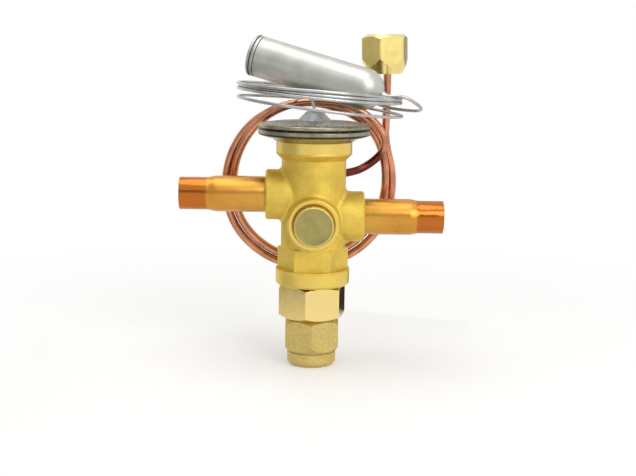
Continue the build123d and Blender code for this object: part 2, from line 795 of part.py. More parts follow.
with BuildPart() as element_cover:
    with BuildSketch(Plane.XZ):
        with BuildLine():
            Polyline(
                (cover_rim_radius - rim_seam_depth, diaphragm_top_z),
                (cover_rim_radius, diaphragm_top_z + rim_seam_depth),
                (cover_rim_radius, cover_rim_top_z - 0.35),
                (cover_rim_radius - 0.35, cover_rim_top_z),
                (cup_land_radius, cover_rim_top_z + 0.15),
                (cover_shoulder_radius, cover_rim_top_z + cover_shoulder_height),
                (cover_top_radius, cover_top_z),
                (cover_hole_radius, cover_top_z),
                (cover_hole_radius, cover_top_z - cover_thickness),
                (cover_top_radius - 0.2, cover_top_z - cover_thickness),
                (cover_shoulder_radius - 0.4, cover_rim_top_z + cover_shoulder_height - cover_thickness),
                (cup_land_radius - 0.3, diaphragm_top_z),
                close=True,
            )
        make_face()
    revolve(axis=Axis.Z)
element_cover.part.label = "element_cover"

with BuildPart() as buffer_plate:
    with BuildSketch(Plane.XY.offset(buffer_bottom_z)):
        Circle(buffer_radius)
    extrude(amount=buffer_thickness)
    chamfer(buffer_plate.edges().filter_by(GeomType.CIRCLE), 0.3)
buffer_plate.part.label = "buffer_plate"

with BuildPart() as capillary_ferrule:
    with BuildSketch(Plane.XZ):
        with BuildLine():
            foot = Line((0, cover_top_z), (ferrule_base_radius, cover_top_z))
            flank = Spline(
                foot @ 1,
                (ferrule_waist_radius, cover_top_z + 0.48 * ferrule_height),
                (ferrule_top_radius, ferrule_top_z - ferrule_shoulder),
                tangents=((-1, 0.5), (-0.6, 1)),
            )
            Polyline(
                flank @ 1,
                (ferrule_top_radius - ferrule_shoulder, ferrule_top_z),
                (0, ferrule_top_z),
                (0, cover_top_z),
            )
        make_face()
    revolve(axis=Axis.Z)
    with BuildSketch(Plane.XY.offset(cover_top_z - cover_thickness)):
        Circle(cover_hole_radius - braze_clearance)
    extrude(amount=cover_thickness)
    with BuildSketch(Plane.XY.offset(cover_top_z - cover_thickness)):
        Circle(capillary_radius + 0.03)
    extrude(amount=cover_thickness + ferrule_height, mode=Mode.SUBTRACT)
capillary_ferrule.part.label = "capillary_ferrule"

# ================================================================ sensing bulb
droop = radians(bulb_droop)
swing = radians(bulb_swing)
bulb_axis = Vector(cos(droop) * cos(swing), -cos(droop) * sin(swing), -sin(droop))
bulb_up = (Vector(0, 0, 1) - bulb_axis * bulb_axis.Z).normalized()
bulb_origin = Vector(*bulb_end_point)
bulb_tip = bulb_origin + bulb_axis * bulb_length
# In this plane X is the distance from the bulb's axis and Y the distance from its crimped end.
bulb_section = Plane(origin=bulb_origin, x_dir=bulb_up, z_dir=bulb_up.cross(bulb_axis))

with BuildPart() as bulb_shell:
    nose_start = bulb_length - bulb_radius
    with BuildSketch(bulb_section):
        with BuildLine():
            side_line = Line((bulb_radius, end_cap_width), (bulb_radius, nose_start))
            nose = RadiusArc(side_line @ 1, (0, bulb_length), -bulb_radius)
            Line(nose @ 1, (0, bulb_length - bulb_wall))
            inner_nose = RadiusArc((0, bulb_length - bulb_wall),
                                   (bulb_radius - bulb_wall, nose_start), bulb_radius - bulb_wall)
            Polyline(inner_nose @ 1, (bulb_radius - bulb_wall, end_cap_width), side_line @ 0)
        make_face()
    revolve(axis=Axis(bulb_origin, bulb_axis))
    with BuildSketch(Plane(origin=bulb_tip - bulb_axis * (2 * bulb_wall), z_dir=bulb_axis)):
        Circle(capillary_radius + 0.03)
    extrude(amount=3 * bulb_wall, mode=Mode.SUBTRACT)
bulb_shell.part.label = "bulb_shell"

with BuildPart() as bulb_end_cap:
    with BuildSketch(bulb_section):
        with BuildLine():
            Polyline(
                (0, end_cap_recess),
                (bulb_radius - 2 * bulb_wall, end_cap_recess),
                (bulb_radius - 1.5 * bulb_wall, 0.1),
                (bulb_radius - bulb_wall, 0),
                (bulb_radius - 0.35, 0),
                (bulb_radius, 0.35),
                (bulb_radius, end_cap_width - 0.4),
                (bulb_radius - 0.3, end_cap_width),
                (0, end_cap_width),
                close=True,
            )
        make_face()
    revolve(axis=Axis(bulb_origin, bulb_axis))
bulb_end_cap.part.label = "bulb_end_cap"

with BuildPart() as bulb_solder:
    with BuildSketch(bulb_section):
        with BuildLine():
            # The bead starts on the rounded nose and thins along the capillary tube.
            nose_height = sqrt(bulb_radius**2 - solder_radius**2) + nose_start
            Polyline(
                (capillary_radius + 0.03, bulb_length + 0.02),
                (0.75 * solder_radius, sqrt(bulb_radius**2 - (0.75 * solder_radius) ** 2) + nose_start + 0.02),
                (solder_radius, nose_height + 0.02),
                (0.8 * solder_radius, bulb_length + 0.35 * solder_length),
                (capillary_radius + 0.2, bulb_length + solder_length),
                (capillary_radius + 0.03, bulb_length + solder_length),
                close=True,
            )
        make_face()
    revolve(axis=Axis(bulb_origin, bulb_axis))
bulb_solder.part.label = "bulb_solder"

# ================================================================ capillary tube


def coil_point(turn_degrees, radius, height, droop_height):
    """A point of the capillary coil. It droops by droop_height from its middle to the outlet side."""
    angle = radians(turn_degrees)
    return (
        coil_centre_x + radius * cos(angle),
        radius * sin(angle),
        height - droop_height * cos(angle),
    )


coil_step = 360 / coil_steps_per_turn
corner_share = 1 / cos(radians(coil_step / 2)) * 0.99
capillary_points = [
    tuple(bulb_tip - bulb_axis * bulb_wall),
    tuple(bulb_tip + bulb_axis * 3.0),
    tuple(bulb_tip + Vector(7.9, -1.8, -0.1)),
    tuple(bulb_tip + Vector(14.4, 0.6, -4.1)),
    (41.5, 1.0, 100.6),
    (35.5, 10.5, 100.3),
    (27.5, 17.0, 101.2),
]
# Three turns, nested on the inlet side and fanned out on the outlet side.
for step in range(1, 3 * coil_steps_per_turn - 2):
    turn_degrees = coil_step * step + 12
    nest = coil_nest * (1 - cos(radians(turn_degrees - 180) / 2)) / 2
    turns_done = turn_degrees / 360
    capillary_points.append(
        coil_point(
            turn_degrees,
            (coil_radius - nest) * corner_share,
            coil_middle_z + coil_pitch * turns_done,
            coil_droop - coil_droop_change * turns_done,
        )
    )
# The last turn dives inside the others and comes out as the lowest strand.
dive = [
    (282, 0.3, 109.1, 2.4),
    (327, 0.0, 108.3, 2.8),
    (12, 0.0, 106.2, 3.2),
    (57, 0.0, 105.0, 3.3),
    (102, 0.0, 102.8, 3.5),
]
for turn_degrees, outer_share, middle_z, droop_z in dive:
    radius = coil_inner_radius + outer_share * (coil_radius - coil_inner_radius)
    capillary_points.append(coil_point(turn_degrees, radius * corner_share, middle_z, droop_z))
for step in range(3, coil_steps_per_turn + 1):
    capillary_points.append(
        coil_point(coil_step * step + 12, coil_radius * corner_share, coil_low_z, coil_low_droop)
    )
# Then it spirals in to the valve's axis and turns down into its ferrule.
spiral = [(58, 30.0, 101.2), (98, 25.5, 104.8), (140, 18.0, 105.6), (180, 9.5, 105.7)]
for turn_degrees, radius, height in spiral:
    capillary_points.append(coil_point(turn_degrees, radius, height, 0.6))
capillary_points += [
    (0.0, 0.0, 105.7),
    (0.0, 0.0, cover_top_z + 1.0),
]

with BuildPart() as capillary_tube:
    with BuildLine() as capillary_path:
        FilletPolyline(*capillary_points, radius=bend_radii(capillary_points))
    with BuildSketch(Plane(origin=capillary_path.line @ 0, z_dir=capillary_path.line % 0)):
        Circle(capillary_radius)
    sweep()
capillary_tube.part.label = "capillary_tube"

# ================================================================ equalizer tube
tube_x = nut_point[0] + nut_offset
tube_y = nut_point[1]
tube_end_z = nut_point[2] + nut_hole_length + bush_height * 0.8


# The loop's two turns as (degrees round its centre, radius, y), the first inside the second.
loop_turns = [
    (105, 33.6, 17.6),
    (137, 32.0, 18.6),
    (172, 30.4, 19.7),
    (212, 30.9, 20.4),
    (255, 30.5, 20.5),
    (300, 30.1, 20.5),
    (340, 30.3, 20.4),
    (373, 31.6, 20.1),
    (403, 34.2, 19.8),
    (434, 33.1, 20.8),
    (465, 33.7, 21.4),
    (498, 34.1, 21.2),
    (533, 33.6, 20.8),
    (572, 34.3, 20.6),
    (615, 33.9, 20.5),
    (660, 33.4, 20.6),
    (698, 33.9, 21.2),
]
equalizer_points = [
    (tube_start * cos(port_turn), tube_start * sin(port_turn), equalizer_z),
    (first_bend * cos(port_turn), first_bend * sin(port_turn), equalizer_z),
    (20.5, 15.6, 76.6),
    (28.4, 15.9, 83.2),
    (28.6, 15.9, 90.0),
    (21.6, 16.2, 98.2),
    (9.5, 16.5, 102.8),
]
for turn_degrees, turn_radius, turn_y in loop_turns:
    corner = turn_radius / cos(radians(loop_step / 2)) * 0.995
    equalizer_points.append(
        (
            loop_centre_x + corner * cos(radians(turn_degrees)),
            turn_y,
            loop_centre_z + corner * sin(radians(turn_degrees)),
        )
    )
equalizer_points += [
    (33.0, tube_y + 0.9, 73.0),
    (28.9, tube_y + 1.0, 87.0),
    (tube_x, tube_y, 98.0),
    (tube_x, tube_y, tube_end_z),
]

with BuildPart() as equalizer_tube:
    with BuildLine() as equalizer_path:
        FilletPolyline(*equalizer_points, radius=bend_radii(equalizer_points))
    with BuildSketch(Plane(origin=equalizer_path.line @ 0, z_dir=equalizer_path.line % 0)):
        Circle(equalizer_radius)
    sweep()
equalizer_tube.part.label = "equalizer_tube"

# ================================================================ flare nut
tilt = radians(nut_tilt)
nut_axis = Vector(-sin(tilt), 0, cos(tilt))
nut_origin = Vector(*nut_point)
nut_base = Plane(origin=nut_origin, x_dir=Vector(cos(tilt), 0, sin(tilt)), z_dir=nut_axis)
# In this plane X is the distance from the nut's axis and Y the height above its lower face.
nut_section = Plane(origin=nut_origin, x_dir=Vector(cos(tilt), 0, sin(tilt)), z_dir=(0, -1, 0))

with BuildPart() as equalizer_nut:
    with BuildSketch(nut_base):
        nut_hexagon = RegularPolygon(radius=hex_radius(nut_flats), side_count=6, rotation=nut_turn)
        fillet(nut_hexagon.vertices(), radius=nut_edge_radius)
    extrude(amount=nut_height)
    nut_corner = hex_radius(nut_flats)
    nut_thread_top = nut_height - nut_mouth_chamfer
    nut_relief_radius = nut_thread_radius + nut_thread_relief
    with BuildSketch(nut_section):
        with BuildLine():
            Polyline(
                (nut_hole_radius, 0),
                (nut_neck_radius, 0),
                (nut_corner, nut_cone_height),
                (nut_corner, nut_height - nut_face_chamfer),
                (nut_face_radius, nut_height),
                (nut_thread_radius + nut_mouth_chamfer, nut_height),
                (nut_thread_radius, nut_thread_top),
                (nut_thread_radius, nut_thread_top - nut_thread_length),
                (nut_relief_radius, nut_thread_top - nut_thread_length - nut_thread_relief),
                (nut_relief_radius, nut_hole_length + nut_relief_radius - nut_hole_radius),
                (nut_hole_radius, nut_hole_length),
                close=True,
            )
        make_face()
    revolve(axis=Axis(nut_origin, nut_axis), mode=Mode.INTERSECT)
equalizer_nut.part.label = "equalizer_nut"

with BuildPart() as flare_bush:
    bush_z = tube_end_z - bush_height * 0.8
    with BuildSketch(Plane(origin=(tube_x, tube_y, bush_z), x_dir=(1, 0, 0), z_dir=(0, -1, 0))):
        with BuildLine():
            Polyline(
                (equalizer_radius + braze_clearance, 0.4),
                (equalizer_radius + 0.4, 0.4),
                (bush_radius, 0.4 + bush_radius - equalizer_radius - 0.4),
                (bush_radius, bush_height),
                (1.1 * equalizer_radius, bush_height + bush_radius - 1.1 * equalizer_radius),
                (equalizer_bore_radius, bush_height + bush_radius - 1.1 * equalizer_radius),
                (equalizer_bore_radius, bush_height * 0.8),
                (equalizer_radius + braze_clearance, bush_height * 0.8),
                close=True,
            )
        make_face()
    revolve(axis=Axis((tube_x, tube_y, bush_z), (0, 0, 1)))
flare_bush.part.label = "flare_bush"

# ================================================================ files
pieces = [
    seal_cap, cap_washer, bonnet, bonnet_gasket, adjusting_stem, packing_gland, stem_packing,
    spring_seat, superheat_spring, pin_carrier, valve_pin, seat_insert, *push_rods,
    valve_body, *stubs, check_ball, check_plug,
    element_cup, diaphragm, element_cover, buffer_plate, capillary_ferrule,
    bulb_shell, bulb_end_cap, bulb_solder, capillary_tube,
    equalizer_tube, equalizer_nut, flare_bush,
]
for piece in pieces:
    export_step(piece.part, "parts/" + piece.part.label + ".step")

for tube, path, radius in (
    (capillary_tube, capillary_path, capillary_radius),
    (equalizer_tube, equalizer_path, equalizer_radius),
):
    length = path.wires()[0].length
    print(tube.part.label, "length", round(length, 1),
          "volume ratio", round(tube.part.volume / (pi * radius**2 * length), 4))
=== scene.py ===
import json
import math

import bmesh
import bpy
from bpy.props import FloatProperty, FloatVectorProperty, IntProperty, PointerProperty
from mathutils import Matrix, Vector


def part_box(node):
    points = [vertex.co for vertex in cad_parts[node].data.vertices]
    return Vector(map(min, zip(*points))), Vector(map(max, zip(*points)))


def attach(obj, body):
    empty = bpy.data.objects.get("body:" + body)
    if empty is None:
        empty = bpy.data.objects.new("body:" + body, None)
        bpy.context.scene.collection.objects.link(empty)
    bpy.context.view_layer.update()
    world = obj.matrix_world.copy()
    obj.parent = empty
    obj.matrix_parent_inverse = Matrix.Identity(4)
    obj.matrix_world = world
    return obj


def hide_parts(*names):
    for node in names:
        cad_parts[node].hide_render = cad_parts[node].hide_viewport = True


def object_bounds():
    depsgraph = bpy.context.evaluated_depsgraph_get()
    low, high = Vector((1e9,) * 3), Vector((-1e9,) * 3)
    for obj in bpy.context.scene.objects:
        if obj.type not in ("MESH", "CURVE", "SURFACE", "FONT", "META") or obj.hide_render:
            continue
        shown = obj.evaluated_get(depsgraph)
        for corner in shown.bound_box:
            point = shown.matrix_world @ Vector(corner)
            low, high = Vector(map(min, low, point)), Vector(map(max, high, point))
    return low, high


bl_info = {
    "name": "Expansion valve",
    "version": (1, 0, 0),
    "blender": (4, 5, 0),
    "location": "3D View > Sidebar > Valve",
    "description": "Dresses a thermostatic expansion valve with its metals, tubes and stage",
    "category": "Object",
}

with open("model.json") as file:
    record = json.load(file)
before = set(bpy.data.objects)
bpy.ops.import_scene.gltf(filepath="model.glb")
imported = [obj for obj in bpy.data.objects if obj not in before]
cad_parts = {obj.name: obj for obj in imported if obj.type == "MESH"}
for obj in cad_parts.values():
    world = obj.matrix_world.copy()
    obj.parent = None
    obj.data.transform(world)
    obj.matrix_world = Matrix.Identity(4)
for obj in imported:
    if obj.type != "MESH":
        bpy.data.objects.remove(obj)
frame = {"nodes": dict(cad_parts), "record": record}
cad_low, cad_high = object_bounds()
MM = 0.001
mounts = {mount["name"]: mount for mount in frame["record"]["mounts"]}


def mount_radius(name):
    """A round mount's radius in metres."""
    return mounts[name]["dims"]["r_mm"] * MM


def height_of(node):
    """Lowest and highest point of a CAD node."""
    low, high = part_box(node)
    return low.z, high.z


# ------------------------------------------------------------------ sizes from the frame
port_heights = {
    "inlet_stub": mounts["inlet_end"]["pos_m"][2],
    "outlet_stub": mounts["outlet_end"]["pos_m"][2],
}
plug_low, plug_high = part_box("check_plug")
plug_radius = (plug_high.x - plug_low.x) / 2
plug_z = (plug_high.z + plug_low.z) / 2
cup_low, cup_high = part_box("element_cup")
cover_low, cover_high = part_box("element_cover")
head_top = cup_low.z
rim_radius = cup_high.x
bulb_axis = -Vector(mounts["bulb_wall"]["axis"])
bulb_radius = mount_radius("bulb_wall")
bulb_middle = Vector(mounts["bulb_wall"]["pos_m"])
bulb_wall_length = mounts["bulb_wall"]["dims"]["length_mm"] * MM
crimp_width = 0.0013
bulb_point = bulb_middle - bulb_axis * (bulb_wall_length / 2 + crimp_width)
bulb_length = crimp_width + bulb_wall_length + bulb_radius
nut_axis = Vector(mounts["equalizer_thread"]["axis"])
nut_middle = Vector(mounts["equalizer_thread"]["pos_m"])


# ------------------------------------------------------------------ properties
def colour(name, description, value):
    """A colour property in linear light."""
    return FloatVectorProperty(
        name=name, description=description, subtype="COLOR", size=3, min=0, max=1, default=value
    )


def length(name, description, value):
    """A length property in metres."""
    return FloatProperty(name=name, description=description, default=value, min=0, unit="LENGTH",
                         precision=5)


class ForgingProperties(bpy.types.PropertyGroup):
    brass: colour("Forged brass", "Colour of the body's matt forged skin", (0.80, 0.59, 0.115))
    cut_brass: colour("Cut brass", "Colour of the turned faces", (0.82, 0.60, 0.15))
    plug: colour("Plug", "Colour of the check valve's plug", (0.33, 0.28, 0.10))
    edge: length("Edge radius", "Rounding of the body's edges", 0.0003)


class LowerEndProperties(bpy.types.PropertyGroup):
    bonnet: colour("Bonnet", "Colour of the bright turned bonnet", (0.82, 0.62, 0.24))
    cap: colour("Seal cap", "Colour of the blasted cap", (0.64, 0.49, 0.17))
    edge: length("Edge radius", "Rounding of the hexagons' edges", 0.00018)


class CopperProperties(bpy.types.PropertyGroup):
    stub: colour("Stub", "Colour of the brushed copper stubs", (0.62, 0.28, 0.05))
    stub_end: colour("Stub end", "Colour of the necked ends", (0.50, 0.15, 0.025))
    tube: colour("Tube", "Colour of the bright equalizer tube", (0.66, 0.29, 0.17))
    tube_radius: length("Equalizer radius", "Outer radius of the equalizer tube", 0.0015875)
    sides: IntProperty(name="Sides", description="Flats round a tube", default=28, min=8, max=64)


class SteelProperties(bpy.types.PropertyGroup):
    element: colour("Element", "Colour of the power element's shells", (0.30, 0.28, 0.19))
    bulb: colour("Bulb", "Colour of the sensing bulb", (0.53, 0.53, 0.49))
    capillary: colour("Capillary", "Colour of the capillary tube", (0.50, 0.50, 0.49))
    ferrule: colour("Ferrule", "Colour of the ferrule's grey cone", (0.60, 0.645, 0.66))
    capillary_radius: length("Capillary radius", "Outer radius of the capillary tube", 0.00062)


class NutProperties(bpy.types.PropertyGroup):
    brass: colour("Flare nut", "Colour of the flare nut", (0.86, 0.69, 0.25))
    pitch: length("Thread pitch", "Distance between the thread's ridges", 0.00127)
    depth: length("Thread depth", "How far the thread's ridges stand out", 0.00038)


class StageProperties(bpy.types.PropertyGroup):
    key: FloatProperty(name="Key lamp", description="Power of the main lamp", default=3.0, min=0,
                       unit="POWER")
    ambient: FloatProperty(name="Surroundings", description="Strength of the light all round",
                           default=0.5, min=0)
    lens: FloatProperty(name="Lens", description="Focal length", default=68.6, min=1,
                        unit="CAMERA")


# ------------------------------------------------------------------ surfaces
class Surface:
    """A material's node tree, with short calls for the nodes that the finishes share."""

    def __init__(self, name, base, roughness, metallic=1.0):
        self.material = bpy.data.materials.new(name)
        self.material.use_nodes = True
        self.material.diffuse_color = (*base, 1)
        self.tree = self.material.node_tree
        self.tree.nodes.clear()
        self.shader = self.node("ShaderNodeBsdfPrincipled")
        self.shader.inputs["Metallic"].default_value = metallic
        self.shader.inputs["Roughness"].default_value = roughness
        self.shader.inputs["Base Color"].default_value = (*base, 1)
        output = self.node("ShaderNodeOutputMaterial")
        self.join(self.shader.outputs["BSDF"], output.inputs["Surface"])
        self.place = self.node("ShaderNodeTexCoord").outputs["Object"]
        self.height = None

    def node(self, kind, **settings):
        made = self.tree.nodes.new(kind)
        for name, value in settings.items():
            setattr(made, name, value)
        return made

    def join(self, source, target):
        """Links a socket to an input, or sets the input where source is a plain value."""
        if isinstance(source, bpy.types.NodeSocket):
            self.tree.links.new(source, target)
        elif hasattr(source, "__len__") and len(source) == 3 and target.type == "RGBA":
            target.default_value = (*source, 1)
        else:
            target.default_value = source

    def axis(self, letter, place=None):
        """One coordinate of the place, in metres."""
        split = self.node("ShaderNodeSeparateXYZ")
        self.join(place or self.place, split.inputs[0])
        return split.outputs[letter]

    def moved(self, origin, turn=(0, 0, 0), scale=(1, 1, 1)):
        """The place seen from an origin, after a turn, with stretched axes."""
        mapping = self.node("ShaderNodeMapping", vector_type="TEXTURE")
        self.join(self.place, mapping.inputs["Vector"])
        mapping.inputs["Location"].default_value = origin
        mapping.inputs["Rotation"].default_value = turn
        mapping.inputs["Scale"].default_value = scale
        return mapping.outputs[0]

    def noise(self, size, detail=3.0, rough=0.55, place=None, stretch=None):
        """Cloudy noise, 0 to 1, whose lumps are about size wide."""
        texture = self.node("ShaderNodeTexNoise")
        source = place or self.place
        if stretch:
            mapping = self.node("ShaderNodeMapping")
            self.join(source, mapping.inputs["Vector"])
            mapping.inputs["Scale"].default_value = stretch
            source = mapping.outputs[0]
        self.join(source, texture.inputs["Vector"])
        texture.inputs["Scale"].default_value = 1 / size
        texture.inputs["Detail"].default_value = detail
        texture.inputs["Roughness"].default_value = rough
        return texture.outputs[0]

    def calc(self, operation, a, b=0.0, c=0.0):
        calculation = self.node("ShaderNodeMath", operation=operation)
        for source, target in zip((a, b, c), calculation.inputs):
            self.join(source, target)
        return calculation.outputs[0]

    def between(self, value, low, high, start=0.0, end=1.0):
        """A smooth step from start to end as value goes from low to high."""
        span = self.node("ShaderNodeMapRange", interpolation_type="SMOOTHSTEP")
        for source, target in zip((value, low, high, start, end), span.inputs):
            self.join(source, target)
        return span.outputs[0]

    def inside(self, value, low, high, soft):
        """1 where value is between low and high, fading over soft at both sides."""
        rise = self.between(value, low - soft / 2, low + soft / 2)
        fall = self.between(value, high - soft / 2, high + soft / 2, 1.0, 0.0)
        return self.calc("MULTIPLY", rise, fall)

    def mix(self, share, a, b):
        blend = self.node("ShaderNodeMix", data_type="RGBA")
        self.join(share, blend.inputs[0])
        self.join(a, blend.inputs[6])
        self.join(b, blend.inputs[7])
        return blend.outputs[2]

    def radius(self, place, first, second):
        """Distance from an axis, from two coordinates of the place."""
        a = self.axis(first, place)
        b = self.axis(second, place)
        return self.calc("SQRT", self.calc("ADD", self.calc("MULTIPLY", a, a), self.calc("MULTIPLY", b, b)))

    def relief(self, height, depth, strength=1.0):
        """Adds bump of a real depth, on top of the bump so far."""
        bump = self.node("ShaderNodeBump")
        bump.inputs["Strength"].default_value = strength
        bump.inputs["Distance"].default_value = depth
        self.join(height, bump.inputs["Height"])
        if self.height:
            self.join(self.height, bump.inputs["Normal"])
        self.height = bump.outputs[0]
        self.join(self.height, self.shader.inputs["Normal"])

    def tone(self, value, base, dark, light, low=0.3, high=0.7):
        """The base colour, shaded from dark to light as value goes from low to high."""
        return self.mix(self.between(value, low, high), shaded(base, dark), shaded(base, light))

    def paint(self, source):
        self.join(source, self.shader.inputs["Base Color"])

    def gloss(self, source):
        self.join(source, self.shader.inputs["Roughness"])


def shaded(base, factor):
    """A colour made darker or lighter."""
    return tuple(min(1.0, channel * factor) for channel in base)


def forged_finish(look):
    """Matt forged skin, with cut faces where the plug's boss, the collar and the head were turned."""
    surface = Surface("forged brass", look.brass, 0.55)
    clouds = surface.noise(0.007, 4)
    skin = surface.tone(clouds, look.brass, 0.88, 1.08)
    grain = surface.noise(0.00045, 2, 0.6)
    skin = surface.mix(surface.between(grain, 0.35, 0.7, 0.0, 0.35), skin, shaded(look.brass, 0.72))
    z = surface.axis("Z")
    # Turned: the ring round the plug, and the head and collar.
    plug_ring = surface.moved((0, 0, plug_z))
    from_plug = surface.radius(plug_ring, "X", "Z")
    front = surface.between(surface.axis("Y"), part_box("valve_body")[0].y + 0.0007,
                            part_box("valve_body")[0].y + 0.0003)
    mouth = surface.calc("MULTIPLY", surface.inside(from_plug, plug_radius - 0.0003, plug_radius + 0.0024,
                                                    0.0003), front)
    head = surface.inside(z, head_top - 0.0042, head_top + 0.003, 0.0004)
    body_low = height_of("valve_body")[0]
    collar = surface.inside(z, body_low - 0.002, body_low + 0.0056, 0.0005)
    bright = surface.calc("MAXIMUM", mouth, head)
    turned = surface.calc("MAXIMUM", bright, surface.calc("MULTIPLY", collar, 0.6))
    surface.paint(surface.mix(turned, skin, look.cut_brass))
    wear = surface.noise(0.003, 5, 0.65)
    matt = surface.between(wear, 0.3, 0.7, 0.50, 0.62)
    blend = surface.node("ShaderNodeMix", data_type="FLOAT")
    surface.join(turned, blend.inputs[0])
    surface.join(matt, blend.inputs[2])
    surface.join(0.34, blend.inputs[3])
    surface.gloss(blend.outputs[0])
    rough_skin = surface.calc("SUBTRACT", 1.0, turned)
    surface.relief(surface.calc("MULTIPLY", surface.noise(0.0005, 3, 0.6), rough_skin), 0.00008, 0.55)
    surface.relief(surface.calc("MULTIPLY", surface.noise(0.004, 3, 0.5), rough_skin), 0.00035, 0.5)
    grooves = surface.calc("SINE", surface.calc("MULTIPLY", z, 2 * math.pi / 0.00035))
    surface.relief(surface.calc("MULTIPLY", grooves, surface.calc("MULTIPLY", head, 0.5)), 0.00001, 0.3)
    return surface.material


def turned_finish(name, base, roughness, mottle=0.12, ring_axis="Z", ring_pitch=0.00022, ring_depth=0.000006):
    """Bright brass or steel with the fine rings that a lathe leaves."""
    surface = Surface(name, base, roughness)
    clouds = surface.noise(0.005, 3)
    surface.paint(surface.tone(clouds, base, 1 - mottle, 1 + mottle))
    smudge = surface.noise(0.0025, 4, 0.6)
    surface.gloss(surface.between(smudge, 0.3, 0.75, roughness * 0.85, roughness * 1.3))
    along = surface.axis(ring_axis)
    rings = surface.calc("SINE", surface.calc("MULTIPLY", along, 2 * math.pi / ring_pitch))
    surface.relief(surface.calc("MULTIPLY", rings, surface.noise(0.0012, 2)), ring_depth, 0.6)
    return surface.material


def blasted_finish(name, base):
    """Blasted brass: a fine grain, with painted glints on its high specks and painted shade in its pits."""
    surface = Surface(name, base, 0.4)
    grain = surface.noise(0.00032, 3, 0.65)
    clouds = surface.noise(0.004, 3)
    base_mix = surface.tone(clouds, base, 0.95, 1.05)
    # Painted glints: the grain's high specks are painted brighter, as blasted grains catch the light.
    painted_glint = surface.between(grain, 0.54, 0.64)
    # Painted shade: the grain's low specks, the pits, are painted darker.
    painted_pit_shade = surface.between(grain, 0.46, 0.38)
    with_painted_glints = surface.mix(surface.calc("MULTIPLY", painted_glint, 0.7), base_mix, shaded(base, 1.6))
    surface.paint(surface.mix(surface.calc("MULTIPLY", painted_pit_shade, 0.7), with_painted_glints, shaded(base, 0.5)))
    surface.gloss(surface.between(clouds, 0.3, 0.7, 0.34, 0.44))
    surface.relief(grain, 0.00012, 1.0)
    return surface.material


def plug_finish(look):
    """The plug's end: dull olive brass with the rings of a facing cut, and a painted highlight round its
    edge.
    """
    surface = Surface("faced plug", look.plug, 0.34)
    place = surface.moved((0, 0, plug_z))
    out = surface.radius(place, "X", "Z")
    rings = surface.calc("SINE", surface.calc("MULTIPLY", out, 2 * math.pi / 0.00042))
    uneven = surface.noise(0.0016, 3)
    clouds = surface.noise(0.004, 4, 0.6)
    tone = surface.tone(clouds, look.plug, 0.92, 1.12, 0.32, 0.7)
    faint = surface.calc("MULTIPLY", surface.between(rings, -0.4, 1.0), uneven)
    tone = surface.mix(faint, tone, shaded(look.plug, 1.6))
    # Painted highlight: a bright band round the face's outer edge, where the chamfer catches the light.
    rim = surface.between(out, plug_radius - 0.0007, plug_radius - 0.0004)
    surface.paint(surface.mix(rim, tone, (0.72, 0.55, 0.20)))
    surface.gloss(surface.between(clouds, 0.3, 0.7, 0.28, 0.40))
    surface.relief(surface.calc("MULTIPLY", rings, uneven), 0.00002, 0.6)
    return surface.material


def stub_finish(name, look, side, reach):
    """Brushed copper, yellower near the body, polished and redder at the necked end."""
    surface = Surface(name, look.stub, 0.3)
    along = surface.calc("MULTIPLY", surface.axis("X"), side)
    low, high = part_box(name.split()[0] + "_stub")
    end = max(abs(low.x), abs(high.x))
    warm = surface.mix(surface.between(along, reach, end - 0.012), (0.62, 0.35, 0.065), look.stub)
    streaks = surface.noise(0.0012, 4, 0.6, stretch=(0.12, 1, 1))
    warm = surface.mix(surface.between(streaks, 0.35, 0.7, 0.0, 0.4), warm, shaded(look.stub, 1.25))
    stain = surface.noise(0.006, 4, 0.6)
    warm = surface.mix(surface.between(stain, 0.5, 0.75, 0.0, 0.5), warm, shaded(look.stub, 0.72))
    neck = surface.between(along, end - 0.0112, end - 0.0100)
    surface.paint(surface.mix(neck, warm, look.stub_end))
    surface.gloss(surface.between(neck, 0, 1, 0.31, 0.2))
    surface.relief(surface.noise(0.0004, 3, 0.6, stretch=(0.15, 1, 1)), 0.00003, 0.5)
    surface.relief(surface.noise(0.005, 2), 0.0003, 0.35)
    return surface.material


# The equalizer's strand at the body's port: from, to and fade, along X and along Z.
PORT_STRAND = ((0.004, 0.0285, 0.004), (0.070, 0.0835, 0.003))


def tube_finish(name, base, roughness, dark=0.72, grain=0.00035, burnt=None):
    """A drawn tube: smooth, with slight clouds of handling and oxide, and burnt brown at its braze."""
    surface = Surface(name, base, roughness)
    clouds = surface.noise(0.008, 4, 0.6)
    skin = surface.tone(clouds, base, dark, 1.12, 0.3, 0.72)
    spots = surface.noise(0.0016, 3, 0.6)
    skin = surface.mix(surface.between(spots, 0.58, 0.72, 0.0, 0.4), skin, shaded(base, 0.6))
    if burnt:
        along, height = PORT_STRAND
        near = surface.calc("MULTIPLY", surface.inside(surface.axis("X"), *along),
                            surface.inside(surface.axis("Z"), *height))
        skin = surface.mix(near, skin, burnt)
    surface.paint(skin)
    surface.gloss(surface.between(clouds, 0.3, 0.7, roughness * 0.85, roughness * 1.25))
    surface.relief(surface.noise(grain, 2, 0.6), 0.00003, 0.4)
    surface.relief(surface.noise(0.003, 2), 0.00014, 0.4)
    return surface.material


